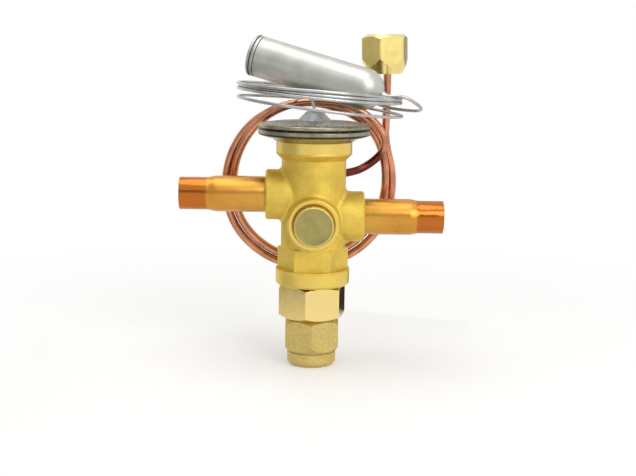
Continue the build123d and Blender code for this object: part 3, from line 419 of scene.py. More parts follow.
def element_finish(look):
    """Stained steel shells: speckled on the dome, with painted shade in the rim's grooves and a painted brass
    reflection under the rim.
    """
    surface = Surface("element steel", look.element, 0.3)
    z = surface.axis("Z")
    clouds = surface.noise(0.004, 5, 0.65)
    speckle = surface.noise(0.0009, 4, 0.7)
    tone = surface.tone(clouds, look.element, 0.8, 1.3)
    dome = surface.between(z, cover_high.z - 0.00125, cover_high.z - 0.0011)
    pale = surface.mix(surface.between(speckle, 0.40, 0.60), shaded(look.element, 0.35), (0.50, 0.49, 0.43))
    tone = surface.mix(dome, tone, pale)
    # Painted shade: the seam between the shells and the groove along the rim's lower edge are painted dark,
    # raggedly.
    seam = surface.inside(z, cup_high.z - 0.0003, cover_low.z + 0.0004, 0.0004)
    lower = surface.inside(z, head_top + 0.0022, head_top + 0.0032, 0.0005)
    ragged = surface.between(surface.noise(0.002, 3), 0.3, 0.5, 0.75, 1.0)
    dark = surface.calc("MULTIPLY", surface.calc("MAXIMUM", seam, lower), ragged)
    tone = surface.mix(dark, tone, (0.030, 0.024, 0.018))
    # Painted reflection and shade: the cup's cone below the rim is tinted brown, as the brass body would show
    # in the shaded steel.
    painted_brass_reflection = surface.between(z, head_top + 0.0024, head_top + 0.0016)
    tone = surface.mix(surface.calc("MULTIPLY", painted_brass_reflection, 0.6), tone, (0.36, 0.29, 0.15))
    surface.paint(tone)
    surface.gloss(surface.between(speckle, 0.3, 0.7, 0.24, 0.40))
    surface.relief(surface.calc("MULTIPLY", speckle, surface.between(dome, 0, 1, 0.3, 1.0)), 0.00009, 0.6)
    return surface.material


def bulb_finish(look):
    """Satin steel drawn along the bulb, a little stained, with painted shade in the crimp's two grooves."""
    surface = Surface("bulb steel", look.bulb, 0.36)
    turn = Vector((1, 0, 0)).rotation_difference(bulb_axis).to_euler()
    place = surface.moved(tuple(bulb_middle), tuple(turn))
    drawn = surface.noise(0.0006, 3, 0.6, place=place, stretch=(0.07, 1, 1))
    clouds = surface.noise(0.009, 4, 0.6, place=place)
    tone = surface.tone(clouds, look.bulb, 0.9, 1.1)
    tone = surface.mix(surface.between(drawn, 0.4, 0.75, 0.0, 0.25), tone, shaded(look.bulb, 0.8))
    along = surface.axis("X", place)
    end = -bulb_wall_length / 2 - crimp_width
    fade = 0.0003
    # Painted shade: two dark lines in the crimp's grooves near the bulb's end.
    painted_crimp_shade = surface.calc("MAXIMUM", surface.inside(along, end + 0.0010, end + 0.0015, fade),
                         surface.inside(along, end + 0.0026, end + 0.0030, fade))
    surface.paint(surface.mix(painted_crimp_shade, tone, shaded(look.bulb, 0.12)))
    surface.gloss(surface.between(drawn, 0.3, 0.7, 0.37, 0.46))
    surface.relief(drawn, 0.000012, 0.5)
    surface.relief(surface.noise(0.012, 2, place=place), 0.0003, 0.25)
    return surface.material


def dull_finish(name, base, roughness, metallic=0.0, grain=0.0004):
    """Plain finish of seals, rings and hidden pieces."""
    surface = Surface(name, base, roughness, metallic)
    clouds = surface.noise(0.003, 4, 0.6)
    surface.paint(surface.tone(clouds, base, 0.85, 1.15))
    surface.gloss(surface.between(clouds, 0.3, 0.7, roughness * 0.9, min(1.0, roughness * 1.15)))
    surface.relief(surface.noise(grain, 2), 0.00003, 0.5)
    return surface.material


# ------------------------------------------------------------------ mesh helpers
def new_object(name, mesh, body, *nodes, slot=None, material=None):
    """Puts a finished mesh on its body, in place of the CAD nodes that it stands for."""
    made = bpy.data.objects.new(name, mesh)
    bpy.context.scene.collection.objects.link(made)
    if material:
        mesh.materials.clear()
        mesh.materials.append(material)
    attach(made, body)
    if nodes:
        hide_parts(*nodes)
    return made


def outline(corners, radius, steps=3):
    """A section's corners, each rounded by up to radius. Corners on the axis stay sharp."""
    rounded = []
    count = len(corners)
    for index, corner in enumerate(corners):
        before = Vector(corners[index - 1])
        after = Vector(corners[(index + 1) % count])
        here = Vector(corner)
        run_in, run_out = here - before, after - here
        size = min(radius, run_in.length * 0.45, run_out.length * 0.45)
        if here.x < 1e-9 or index in (0, count - 1) and corners[0][0] < 1e-9 or size < 1e-7:
            rounded.append(here)
            continue
        start = here - run_in.normalized() * size
        end = here + run_out.normalized() * size
        for step in range(steps + 1):
            share = step / steps
            rounded.append(start.lerp(here, share).lerp(here.lerp(end, share), share))
    return rounded


def lathe(name, section, base, axis, sides=96, closed=True):
    """Turns a section of (radius, height) points round an axis that starts at base."""
    turn = Vector((0, 0, 1)).rotation_difference(axis).to_matrix()
    mesh = bpy.data.meshes.new(name)
    build = bmesh.new()
    rings = []
    for point in section:
        if point[0] < 1e-9:
            rings.append([build.verts.new(base + turn @ Vector((0, 0, point[1])))])
            continue
        ring = []
        for step in range(sides):
            angle = 2 * math.pi * step / sides
            spot = Vector((point[0] * math.cos(angle), point[0] * math.sin(angle), point[1]))
            ring.append(build.verts.new(base + turn @ spot))
        rings.append(ring)
    pairs = list(zip(rings, rings[1:]))
    if closed and len(rings[0]) > 1:
        pairs.append((rings[-1], rings[0]))
    for lower, upper in pairs:
        for step in range(sides):
            following = (step + 1) % sides
            corners = [lower[step % len(lower)], lower[following % len(lower)],
                       upper[following % len(upper)], upper[step % len(upper)]]
            distinct = list(dict.fromkeys(corners))
            if len(distinct) > 2:
                build.faces.new(distinct)
    bmesh.ops.recalc_face_normals(build, faces=build.faces)
    build.to_mesh(mesh)
    build.free()
    mesh.shade_smooth()
    mesh.set_sharp_from_angle(angle=math.radians(40))
    return mesh


def refined(node, edge, sharp=30):
    """A merged copy of a CAD node's mesh, with softly rounded edges and smooth round faces."""
    mesh = frame["nodes"][node].data.copy()
    mesh.name = node + "_refined"
    build = bmesh.new()
    build.from_mesh(mesh)
    bmesh.ops.remove_doubles(build, verts=build.verts, dist=2e-6)
    bmesh.ops.dissolve_limit(build, angle_limit=math.radians(0.4), verts=build.verts, edges=build.edges)
    build.to_mesh(mesh)
    build.free()
    mesh.shade_smooth()
    mesh.set_sharp_from_angle(angle=math.radians(sharp))
    draft = bpy.data.objects.new(node + "_draft", mesh)
    bpy.context.scene.collection.objects.link(draft)
    if edge > 0:
        bevel = draft.modifiers.new("edges", "BEVEL")
        bevel.width = edge
        bevel.segments = 2
        bevel.limit_method = "ANGLE"
        bevel.angle_limit = math.radians(sharp)
        bevel.harden_normals = False
    weighted = draft.modifiers.new("normals", "WEIGHTED_NORMAL")
    weighted.keep_sharp = True
    made = plain_mesh(draft, node + "_dressed")
    return made


def plain_mesh(draft, name):
    """The mesh that an object's modifiers give, with the draft removed."""
    bpy.context.view_layer.update()
    evaluated = draft.evaluated_get(bpy.context.evaluated_depsgraph_get())
    mesh = bpy.data.meshes.new_from_object(evaluated)
    mesh.name = name
    data = draft.data
    bpy.data.objects.remove(draft)
    if isinstance(data, bpy.types.Curve):
        bpy.data.curves.remove(data)
    return mesh


# ------------------------------------------------------------------ node trees
class Tree:
    """A Geometry Nodes tree with named inputs, ending in realized geometry with its material."""

    def __init__(self, name, sizes):
        self.group = bpy.data.node_groups.new(name, "GeometryNodeTree")
        face = self.group.interface
        face.new_socket("Geometry", in_out="INPUT", socket_type="NodeSocketGeometry")
        for label, kind in sizes:
            face.new_socket(label, in_out="INPUT", socket_type="NodeSocket" + kind)
        face.new_socket("Material", in_out="INPUT", socket_type="NodeSocketMaterial")
        face.new_socket("Geometry", in_out="OUTPUT", socket_type="NodeSocketGeometry")
        self.source = self.node("NodeGroupInput").outputs
        self.sink = self.node("NodeGroupOutput").inputs

    def node(self, kind, sockets=None, **settings):
        made = self.group.nodes.new(kind)
        for name, value in settings.items():
            setattr(made, name, value)
        for name, value in (sockets or {}).items():
            if isinstance(value, bpy.types.NodeSocket):
                self.group.links.new(value, made.inputs[name])
            else:
                made.inputs[name].default_value = value
        return made

    def finish(self, geometry):
        """Smooth shading, realized instances and the material, in that order."""
        smooth = self.node("GeometryNodeSetShadeSmooth", {0: geometry})
        whole = self.node("GeometryNodeRealizeInstances", {0: smooth.outputs[0]})
        painted = self.node("GeometryNodeSetMaterial", {"Geometry": whole.outputs[0],
                                                        "Material": self.source["Material"]})
        self.group.links.new(painted.outputs[0], self.sink["Geometry"])

    def apply(self, draft, values, material, name):
        """Runs the tree on a draft object and returns the plain mesh."""
        modifier = draft.modifiers.new("shape", "NODES")
        modifier.node_group = self.group
        values = dict(values, Material=material)
        for item in self.group.interface.items_tree:
            if item.in_out == "INPUT" and item.name in values:
                modifier[item.identifier] = values[item.name]
        return plain_mesh(draft, name)


def tube_tree():
    """A round tube along a route, closed at both ends."""
    tree = Tree("tube along a route", [("Radius", "Float"), ("Sides", "Int")])
    ring = tree.node("GeometryNodeCurvePrimitiveCircle", {"Resolution": tree.source["Sides"],
                                                          "Radius": tree.source["Radius"]})
    swept = tree.node("GeometryNodeCurveToMesh", {"Curve": tree.source["Geometry"],
                                                  "Profile Curve": ring.outputs[0],
                                                  "Fill Caps": True})
    tree.finish(swept.outputs[0])
    return tree


def thread_tree():
    """The ridge of a screw thread: a small triangle swept along a helix."""
    tree = Tree("thread ridge", [("Radius", "Float"), ("Depth", "Float"), ("Pitch", "Float"),
                                 ("Turns", "Float")])
    height = tree.node("ShaderNodeMath", {0: tree.source["Pitch"], 1: tree.source["Turns"]},
                       operation="MULTIPLY")
    helix = tree.node("GeometryNodeCurveSpiral", {"Resolution": 48, "Rotations": tree.source["Turns"],
                                                  "Start Radius": tree.source["Radius"],
                                                  "End Radius": tree.source["Radius"],
                                                  "Height": height.outputs[0]})
    ridge = tree.node("GeometryNodeCurvePrimitiveCircle", {"Resolution": 3,
                                                           "Radius": tree.source["Depth"]})
    swept = tree.node("GeometryNodeCurveToMesh", {"Curve": helix.outputs[0],
                                                  "Profile Curve": ridge.outputs[0],
                                                  "Fill Caps": True})
    tree.finish(swept.outputs[0])
    return tree


def route_curve(name, points):
    """A smooth curve that bends round each point of a route."""
    curve = bpy.data.curves.new(name, "CURVE")
    curve.dimensions = "3D"
    curve.resolution_u = 10
    spline = curve.splines.new("NURBS")
    spline.points.add(len(points) - 1)
    for spot, point in zip(spline.points, points):
        spot.co = (*point, 1)
    spline.order_u = 3
    spline.use_endpoint_u = True
    made = bpy.data.objects.new(name, curve)
    bpy.context.scene.collection.objects.link(made)
    return made


def tube(name, points, radius, sides, material):
    """A tube's mesh along a route of points in metres."""
    return tube_tree().apply(route_curve(name + "_route", points), {"Radius": radius, "Sides": sides},
                             material, name)


# ------------------------------------------------------------------ pieces
def dress(material, *nodes):
    """Gives CAD nodes whose shape is right a better material."""
    for node in nodes:
        mesh = frame["nodes"][node].data
        mesh.materials.clear()
        mesh.materials.append(material)


def cad_mm(points):
    """Points in millimetres as vectors in metres."""
    return [Vector(point) * MM for point in points]


class VALVE_OT_forged_body(bpy.types.Operator):
    """Make the forged body with rounded edges, matt skin and turned faces"""
    bl_idname = "valve.forged_body"
    bl_label = "Forged body"

    def execute(self, context):
        look = context.scene.valve_forging
        new_object("forged_body", refined("valve_body", look.edge), "valve", "valve_body",
                   slot="forged_brass", material=forged_finish(look))
        return {"FINISHED"}


class VALVE_OT_check_plug(bpy.types.Operator):
    """Make the plug of the check valve, with its facing rings and centre pip"""
    bl_idname = "valve.check_plug"
    bl_label = "Check valve plug"

    def execute(self, context):
        look = context.scene.valve_forging
        depth = plug_high.y - plug_low.y
        corners = [(0, 0), (plug_radius, 0), (plug_radius, depth - 0.00035), (plug_radius - 0.00035, depth),
                   (plug_radius - 0.0011, depth), (plug_radius - 0.0013, depth - 0.00006)]
        ring_count = 11
        for ring in range(ring_count):
            out = (plug_radius - 0.0014) * (1 - ring / ring_count)
            corners.append((out - 0.00015, depth - 0.00002))
            corners.append((out - 0.00035, depth - 0.00008))
        corners += [(0.00055, depth - 0.00008), (0.00030, depth), (0, depth)]
        mesh = lathe("plug", outline(corners, 0.00012, 2), Vector((0, plug_high.y, plug_z)),
                     Vector((0, -1, 0)), 96, closed=False)
        new_object("faced_plug", mesh, "valve", "check_plug", slot="turned_brass",
                   material=plug_finish(look))
        return {"FINISHED"}


class VALVE_OT_lower_end(bpy.types.Operator):
    """Make the bright bonnet and the blasted seal cap, and dress the seals between them"""
    bl_idname = "valve.lower_end"
    bl_label = "Bonnet and seal cap"

    def execute(self, context):
        look = context.scene.valve_lower_end
        bonnet = turned_finish("bright bonnet", look.bonnet, 0.11, 0.02)
        new_object("bright_bonnet", refined("bonnet", look.edge), "valve", "bonnet",
                   slot="turned_brass", material=bonnet)
        new_object("blasted_cap", refined("seal_cap", look.edge), "cap", "seal_cap",
                   slot="blasted_brass", material=blasted_finish("blasted brass", look.cap))
        dress(dull_finish("seal fibre", (0.10, 0.12, 0.10), 0.7), "cap_washer", "bonnet_gasket")
        dress(turned_finish("inner brass", shaded(look.bonnet, 0.9), 0.25), "packing_gland", "spring_seat",
              "pin_carrier")
        return {"FINISHED"}


class VALVE_OT_stubs(bpy.types.Operator):
    """Make the two copper stubs with their necked ends"""
    bl_idname = "valve.stubs"
    bl_label = "Copper stubs"

    def execute(self, context):
        look = context.scene.valve_copper
        radius, end_radius, wall = 0.0070, mount_radius("inlet_end"), 0.0009
        for side, name, mount in ((-1, "inlet", "inlet_end"), (1, "outlet", "outlet_end")):
            low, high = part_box(name + "_stub")
            root = min(abs(low.x), abs(high.x))
            length = max(abs(low.x), abs(high.x)) - root
            neck = length - mounts[mount]["dims"]["length_mm"] * MM - 0.00025
            swage = neck - 0.0042
            corners = [(radius, 0), (radius, swage)]
            for step in range(1, 9):
                share = step / 9
                ease = share * share * (3 - 2 * share)
                corners.append((radius + (end_radius - radius) * ease, swage + (neck - swage) * share))
            corners += [(end_radius, neck), (end_radius, length), (end_radius - wall, length),
                        (end_radius - wall, neck), (radius - wall, swage), (radius - wall, 0)]
            foot = Vector((side * root, 0, port_heights[name + "_stub"]))
            mesh = lathe(name, outline(corners, 0.00028), foot, Vector((side, 0, 0)), 128)
            new_object(name + "_copper", mesh, "valve", name + "_stub", slot="copper_stub",
                       material=stub_finish(name + " copper", look, side, root + 0.007))
        return {"FINISHED"}


class VALVE_OT_element(bpy.types.Operator):
    """Make the power element's cup and cover, and the ferrule on its dome"""
    bl_idname = "valve.element"
    bl_label = "Power element"

    def execute(self, context):
        look = context.scene.valve_steel
        steel = element_finish(look)
        up = Vector((0, 0, 1))
        hole, seam = 0.0091, 0.00035
        rim = cup_high.z - head_top
        cup = [(hole, 0), (0.0150, 0), (0.0164, 0.0011), (0.0204, 0.0022), (rim_radius, 0.0027),
               (rim_radius, rim - seam), (rim_radius - seam, rim), (0.0190, rim), (0.0185, 0.0034),
               (0.0158, 0.0023), (0.0144, 0.0012), (hole, 0.0012)]
        mesh = lathe("cup", outline(cup, 0.0004), Vector((0, 0, head_top)), up, 144)
        new_object("element_cup_shell", mesh, "valve", "element_cup", slot="element_steel", material=steel)
        edge, top = cover_high.x, cover_high.z - cover_low.z
        cover = [(edge - seam, 0), (edge, seam), (edge, top - 0.0016), (edge - 0.0005, top - 0.0012),
                 (0.0204, top - 0.0012), (0.0199, top - 0.00135), (0.0192, top - 0.0011),
                 (0.0165, top - 0.0006), (0.0082, top), (0.0020, top), (0.0020, top - 0.0012),
                 (0.0080, top - 0.0012), (0.0161, top - 0.0018), (0.0187, 0)]
        mesh = lathe("cover", outline(cover, 0.0003), Vector((0, 0, cover_low.z)), up, 144)
        new_object("element_cover_shell", mesh, "valve", "element_cover", slot="element_steel",
                   material=steel)
        low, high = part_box("capillary_ferrule")
        top = high.z - cover_high.z
        bore = context.scene.valve_steel.capillary_radius + 0.00003
        cone = [(bore, -0.0012), (0.00195, -0.0012), (0.00195, 0), (0.0068, 0), (0.0061, 0.00055),
                (0.0053, 0.0013), (0.0046, 0.0020), (0.0040, 0.0027), (0.0033, top - 0.00055),
                (0.0025, top - 0.0001), (0.0014, top), (bore, top)]
        mesh = lathe("ferrule", outline(cone, 0.0005), Vector((0, 0, cover_high.z)), up, 72)
        new_object("ferrule_cone", mesh, "valve", "capillary_ferrule", slot="ferrule_solder",
                   material=dull_finish("ferrule grey", look.ferrule, 0.42, 0.55))
        dress(steel, "diaphragm")
        return {"FINISHED"}


class VALVE_OT_bulb(bpy.types.Operator):
    """Make the sensing bulb with its crimped end, and dress its solder"""
    bl_idname = "valve.bulb"
    bl_label = "Sensing bulb"

    def execute(self, context):
        look = context.scene.valve_steel
        wall = 0.0008
        proud = bulb_radius + 0.00012
        section = [(0, 0.0008), (0.0062, 0.0008), (0.0066, 0.0002), (0.0071, 0), (proud - 0.0003, 0),
                   (proud, 0.0004), (proud, 0.0010), (bulb_radius - 0.00012, 0.00125),
                   (bulb_radius - 0.00012, 0.0015), (bulb_radius, 0.0017), (bulb_radius, 0.0026),
                   (bulb_radius - 0.00012, 0.0027), (bulb_radius - 0.00012, 0.0029), (bulb_radius, 0.0030)]
        nose = bulb_length - bulb_radius
        points = outline(section, 0.00012, 2)
        steps = 22
        for step in range(steps + 1):
            turn = math.pi / 2 * step / steps
            out = bulb_radius * math.cos(turn) if step < steps else 0
            points.append((out, nose + bulb_radius * math.sin(turn)))
        mesh = lathe("bulb", points, bulb_point, bulb_axis, 128, closed=False)
        new_object("sensing_bulb", mesh, "valve", "bulb_shell", "bulb_end_cap", slot="bulb_steel",
                   material=bulb_finish(look))
        dress(dull_finish("solder", look.ferrule, 0.35, 0.8), "bulb_solder")
        return {"FINISHED"}


class VALVE_OT_capillary(bpy.types.Operator):
    """Make the capillary tube, coiled in three turns above the power element"""
    bl_idname = "valve.capillary"
    bl_label = "Capillary tube"

    def execute(self, context):
        look = context.scene.valve_steel
        steel = tube_finish("capillary steel", look.capillary, 0.24, 0.8, 0.0002)
        mesh = tube("capillary", capillary_route(), look.capillary_radius, 12, steel)
        new_object("capillary_coil", mesh, "valve", "capillary_tube", slot="capillary_steel")
        return {"FINISHED"}


class VALVE_OT_equalizer(bpy.types.Operator):
    """Make the equalizer tube, looped in two turns behind the valve"""
    bl_idname = "valve.equalizer"
    bl_label = "Equalizer tube"

    def execute(self, context):
        look = context.scene.valve_copper
        copper = tube_finish("tube copper", look.tube, 0.2, 0.7, burnt=(0.16, 0.035, 0.025))
        mesh = tube("equalizer", equalizer_route(), look.tube_radius, look.sides, copper)
        new_object("equalizer_loop", mesh, "valve", "equalizer_tube", slot="copper_tube")
        dress(copper, "flare_bush")
        return {"FINISHED"}


class VALVE_OT_flare_nut(bpy.types.Operator):
    """Make the flare nut with softened edges and its screw thread"""
    bl_idname = "valve.flare_nut"
    bl_label = "Flare nut"

    def execute(self, context):
        look = context.scene.valve_nut
        brass = turned_finish("nut brass", look.brass, 0.20, 0.03)
        new_object("brass_nut", refined("equalizer_nut", 0.00022), "nut", "equalizer_nut",
                   slot="turned_brass", material=brass)
        mount = mounts["equalizer_thread"]
        radius = mount_radius("equalizer_thread")
        span = mount["dims"]["length_mm"] * MM - look.pitch
        turns = span / look.pitch
        draft = bpy.data.objects.new("thread_draft", bpy.data.meshes.new("thread_draft"))
        context.scene.collection.objects.link(draft)
        mesh = thread_tree().apply(draft, {"Radius": radius + look.depth * 0.35, "Depth": look.depth,
                                           "Pitch": look.pitch, "Turns": turns}, brass, "thread")
        turn = Vector((0, 0, 1)).rotation_difference(nut_axis).to_matrix().to_4x4()
        start = nut_middle - nut_axis * (span / 2)
        mesh.transform(Matrix.Translation(start) @ turn)
        new_object("nut_thread", mesh, "nut", slot="turned_brass")
        return {"FINISHED"}


class VALVE_OT_inner_parts(bpy.types.Operator):
    """Dress the parts inside the valve"""
    bl_idname = "valve.inner_parts"
    bl_label = "Inner parts"

    def execute(self, context):
        steel = turned_finish("inner steel", (0.50, 0.50, 0.50), 0.22, 0.08)
        dress(steel, "adjusting_stem", "valve_pin", "seat_insert", "push_rod_front", "push_rod_rear",
              "check_ball", "buffer_plate")
        dress(tube_finish("spring steel", (0.30, 0.30, 0.31), 0.28), "superheat_spring")
        dress(dull_finish("packing", (0.72, 0.72, 0.68), 0.55), "stem_packing")
        return {"FINISHED"}


# ------------------------------------------------------------------ tube routes
def coil_point(turn_degrees, radius, height, droop):
    """A point of the capillary coil, in millimetres."""
    angle = math.radians(turn_degrees)
    return (2.0 + radius * math.cos(angle), radius * math.sin(angle), height - droop * math.cos(angle))


def capillary_route():
    """The capillary tube's bends, from the bulb's nose round the coil to the ferrule."""
    coil_radius, inner_radius = 31.9, 30.0
    step_turn = 45
    corner_share = 0.99 / math.cos(math.radians(step_turn / 2))
    tip = (bulb_point + bulb_axis * bulb_length) / MM
    route = [tip - bulb_axis * 0.8, tip + bulb_axis * 3.0, (33.5, -11.4, 107.0), (40.0, -9.0, 103.0),
             (41.5, 1.0, 100.6), (35.5, 10.5, 100.3), (27.5, 17.0, 101.2)]
    for step in range(1, 22):
        turn = step_turn * step + 12
        nest = 0.96 * (1 - math.cos(math.radians(turn - 180) / 2)) / 2
        turns = turn / 360
        route.append(coil_point(turn, (coil_radius - nest) * corner_share, 105.45 + 1.15 * turns,
                                3.2 - 0.25 * turns))
    dive = [(282, 0.3, 109.1, 2.4), (327, 0.0, 108.3, 2.8), (12, 0.0, 106.2, 3.2), (57, 0.0, 105.0, 3.3),
            (102, 0.0, 102.8, 3.5)]
    for turn, share, height, droop in dive:
        radius = inner_radius + share * (coil_radius - inner_radius)
        route.append(coil_point(turn, radius * corner_share, height, droop))
    for step in range(3, 9):
        route.append(coil_point(step_turn * step + 12, coil_radius * corner_share, 102.1, 3.7))
    for turn, radius, height in ((58, 30.0, 101.2), (98, 25.5, 104.8), (140, 18.0, 105.6), (180, 9.5, 105.7)):
        route.append(coil_point(turn, radius, height, 0.6))
    route += [(0, 0, 105.7), (0, 0, cover_high.z / MM + 1)]
    return cad_mm(route)


def equalizer_route():
    """The equalizer tube's bends, from the body's port round the loop to the flare nut."""
    port_turn = math.radians(40)
    out = Vector((math.cos(port_turn), math.sin(port_turn), 0))
    port = Vector((0, 0, 74.9))
    route = [port + out * 8.6, port + out * 17.0, (20.5, 15.6, 76.6), (28.4, 15.9, 83.2), (28.6, 15.9, 90.0),
             (21.6, 16.2, 98.2), (9.5, 16.5, 102.8)]
    corner_share = 0.995 / math.cos(math.radians(37 / 2))
    loop = [(105, 33.6, 17.6), (137, 32.0, 18.6), (172, 30.4, 19.7), (212, 30.9, 20.4), (255, 30.5, 20.5),
            (300, 30.1, 20.5), (340, 30.3, 20.4), (373, 31.6, 20.1), (403, 34.2, 19.8), (434, 33.1, 20.8),
            (465, 33.7, 21.4), (498, 34.1, 21.2), (533, 33.6, 20.8), (572, 34.3, 20.6), (615, 33.9, 20.5),
            (660, 33.4, 20.6), (698, 33.9, 21.2)]
    for turn, radius, y in loop:
        angle = math.radians(turn)
        route.append((-2.0 + radius * corner_share * math.cos(angle), y,
                      68.4 + radius * corner_share * math.sin(angle)))
    route += [(33.0, 22.4, 73.0), (28.9, 22.5, 87.0), (29.3, 21.5, 98.0), (29.3, 21.5, 121.3)]
    return cad_mm(route)


# ------------------------------------------------------------------ stage
def floor_mesh():
    """A wide flat floor."""
    mesh = bpy.data.meshes.new("floor")
    build = bmesh.new()
    reach = 4.0
    corners = [(-reach, -reach), (reach, -reach), (reach, reach), (-reach, reach)]
    build.faces.new([build.verts.new((x, y, 0)) for x, y in corners])
    build.to_mesh(mesh)
    build.free()
    mesh.shade_smooth()
    return mesh


def floor_finish():
    """Pale floor: plain white to the camera where it is fully lit, and grey in the valve's shadow."""
    surface = Surface("pale floor", (0.80, 0.80, 0.79), 0.65, 0.0)
    fine = surface.noise(0.004, 3)
    surface.paint(surface.mix(surface.between(fine, 0.3, 0.7), (0.79, 0.79, 0.78), (0.82, 0.82, 0.81)))
    surface.relief(fine, 0.00003, 0.3)
    rays = surface.node("ShaderNodeLightPath").outputs
    seen = surface.calc("MAXIMUM", rays["Is Camera Ray"], rays["Is Glossy Ray"])
    seen = surface.calc("MAXIMUM", seen, rays["Is Transmission Ray"])
    surface.join((1.0, 1.0, 1.0), surface.shader.inputs["Emission Color"])
    surface.join(surface.calc("MULTIPLY", seen, 0.26), surface.shader.inputs["Emission Strength"])
    away = surface.between(surface.radius(surface.place, "X", "Y"), 0.10, 0.32)
    white = surface.node("ShaderNodeEmission")
    spread = surface.node("ShaderNodeMixShader")
    output = surface.tree.nodes["Material Output"]
    surface.join(surface.calc("MULTIPLY", seen, away), spread.inputs[0])
    surface.join(surface.shader.outputs[0], spread.inputs[1])
    surface.join(white.outputs[0], spread.inputs[2])
    surface.join(spread.outputs[0], output.inputs["Surface"])
    return surface.material


def lamp(name, place, target, size, power, tint=(1, 1, 1)):
    """A soft square lamp that looks at a point."""
    data = bpy.data.lights.new(name, "AREA")
    data.shape = "RECTANGLE"
    data.size, data.size_y = size
    data.energy = power
    data.color = tint
    made = bpy.data.objects.new(name, data)
    made.location = place
    made.rotation_euler = (Vector(target) - Vector(place)).to_track_quat("-Z", "Y").to_euler()
    bpy.context.scene.collection.objects.link(made)


def card(name, place, target, size, shade):
    """A grey card that only shows in the metal, as a studio's flags do."""
    turn = (Vector(target) - Vector(place)).to_track_quat("Z", "Y").to_matrix()
    x, y = size[0] / 2, size[1] / 2
    mesh = bpy.data.meshes.new(name)
    build = bmesh.new()
    corners = [(-x, -y, 0), (x, -y, 0), (x, y, 0), (-x, y, 0)]
    build.faces.new([build.verts.new(Vector(place) + turn @ Vector(corner)) for corner in corners])
    build.to_mesh(mesh)
    build.free()
    made = bpy.data.objects.new(name, mesh)
    bpy.context.scene.collection.objects.link(made)
    surface = Surface(name + " grey", (0, 0, 0), 1.0, 0.0)
    surface.shader.inputs["Emission Color"].default_value = (1, 1, 1, 1)
    surface.shader.inputs["Emission Strength"].default_value = shade
    mesh.materials.append(surface.material)
    made.visible_camera = False
    made.visible_diffuse = False
    made.visible_shadow = False
    made.visible_transmission = False


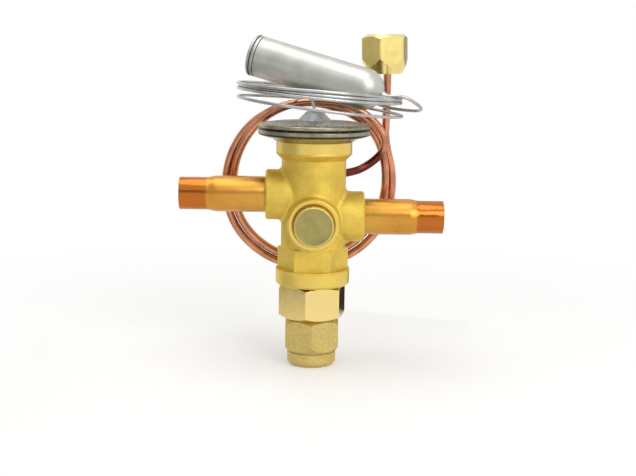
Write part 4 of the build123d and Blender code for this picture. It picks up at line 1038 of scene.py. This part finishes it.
class VALVE_OT_stage(bpy.types.Operator):
    """Set up the floor, the lamps, the surroundings and the camera"""
    bl_idname = "valve.stage"
    bl_label = "Stage"

    def execute(self, context):
        look = context.scene.valve_stage
        scene = context.scene
        floor = bpy.data.objects.new("floor", floor_mesh())
        scene.collection.objects.link(floor)
        floor.data.materials.append(floor_finish())
        middle = (cad_low + cad_high) / 2
        lamp("key", (0.42, -0.75, 0.55), middle, (0.6, 0.6), look.key)
        lamp("top", (-0.05, -0.05, 0.95), middle, (0.9, 0.6), look.key)
        card("left_card", (-0.115, -0.03, 0.10), (0, -0.03, 0.10), (0.16, 0.20), 0.50)
        card("right_card", (0.045, 0.085, 0.022), (0.012, 0, 0.026), (0.06, 0.044), 0.02)
        card("back_card", (0.22, 0.50, 0.16), middle, (0.30, 0.26), 0.35)
        card("front_card", (-0.02, -0.90, 0.36), middle, (1.1, 0.30), 0.35)
        self.surroundings(scene, look.ambient)
        self.camera(scene, look.lens)
        scene.view_settings.view_transform = "Standard"
        return {"FINISHED"}

    def surroundings(self, scene, strength):
        """A white room to the camera and to the metal, and soft light all round for the rest."""
        world = bpy.data.worlds.new("studio")
        scene.world = world
        world.use_nodes = True
        nodes, links = world.node_tree.nodes, world.node_tree.links
        nodes.clear()
        output = nodes.new("ShaderNodeOutputWorld")
        light = nodes.new("ShaderNodeBackground")
        light.inputs["Color"].default_value = (1, 1, 1, 1)
        light.inputs["Strength"].default_value = strength
        white = nodes.new("ShaderNodeBackground")
        white.inputs["Color"].default_value = (1, 1, 1, 1)
        rays = nodes.new("ShaderNodeLightPath").outputs
        seen = rays["Is Camera Ray"]
        for kind in ("Is Glossy Ray", "Is Transmission Ray"):
            either = nodes.new("ShaderNodeMath")
            either.operation = "MAXIMUM"
            links.new(seen, either.inputs[0])
            links.new(rays[kind], either.inputs[1])
            seen = either.outputs[0]
        mixed = nodes.new("ShaderNodeMixShader")
        links.new(seen, mixed.inputs[0])
        links.new(light.outputs[0], mixed.inputs[1])
        links.new(white.outputs[0], mixed.inputs[2])
        links.new(mixed.outputs[0], output.inputs[0])

    def camera(self, scene, lens):
        """The camera a little above the valve, tipped down and slightly rolled."""
        data = bpy.data.cameras.new("camera")
        data.lens = lens
        data.sensor_width = 36
        data.sensor_fit = "HORIZONTAL"
        made = bpy.data.objects.new("camera", data)
        swing, dip, roll = math.radians(1.0), math.radians(9.37), math.radians(0.9)
        ahead = Vector((math.sin(swing) * math.cos(dip), math.cos(swing) * math.cos(dip), -math.sin(dip)))
        level = Vector((math.cos(swing), -math.sin(swing), 0))
        above = level.cross(ahead)
        right = math.cos(roll) * level + math.sin(roll) * above
        up = math.cos(roll) * above - math.sin(roll) * level
        eye = (-0.00620, -0.46996, 0.1280)
        made.matrix_world = Matrix.Translation(eye) @ Matrix(
            (right, up, -ahead)).transposed().to_4x4()
        scene.collection.objects.link(made)
        scene.camera = made


# ------------------------------------------------------------------ sidebar
class VALVE_PT_panel(bpy.types.Panel):
    """The valve's pieces, in the order in which they are made"""
    bl_idname = "VALVE_PT_panel"
    bl_label = "Expansion valve"
    bl_space_type = "VIEW_3D"
    bl_region_type = "UI"
    bl_category = "Valve"

    def draw(self, context):
        for operator in OPERATORS:
            self.layout.operator(operator.bl_idname)
        for name, group in GROUPS:
            box = self.layout.box()
            for item in group.__annotations__:
                box.prop(getattr(context.scene, name), item)


OPERATORS = (
    VALVE_OT_stage,
    VALVE_OT_forged_body,
    VALVE_OT_check_plug,
    VALVE_OT_lower_end,
    VALVE_OT_stubs,
    VALVE_OT_element,
    VALVE_OT_bulb,
    VALVE_OT_capillary,
    VALVE_OT_equalizer,
    VALVE_OT_flare_nut,
    VALVE_OT_inner_parts,
)
GROUPS = (
    ("valve_stage", StageProperties),
    ("valve_forging", ForgingProperties),
    ("valve_lower_end", LowerEndProperties),
    ("valve_copper", CopperProperties),
    ("valve_steel", SteelProperties),
    ("valve_nut", NutProperties),
)


def register():
    for name, group in GROUPS:
        bpy.utils.register_class(group)
        setattr(bpy.types.Scene, name, PointerProperty(type=group))
    for operator in OPERATORS:
        bpy.utils.register_class(operator)
    bpy.utils.register_class(VALVE_PT_panel)


def unregister():
    bpy.utils.unregister_class(VALVE_PT_panel)
    for operator in reversed(OPERATORS):
        bpy.utils.unregister_class(operator)
    for name, group in reversed(GROUPS):
        delattr(bpy.types.Scene, name)
        bpy.utils.unregister_class(group)


def main():
    register()
    for operator in OPERATORS:
        getattr(bpy.ops.valve, operator.bl_idname.split(".")[1])()


if __name__ == "__main__":
    main()
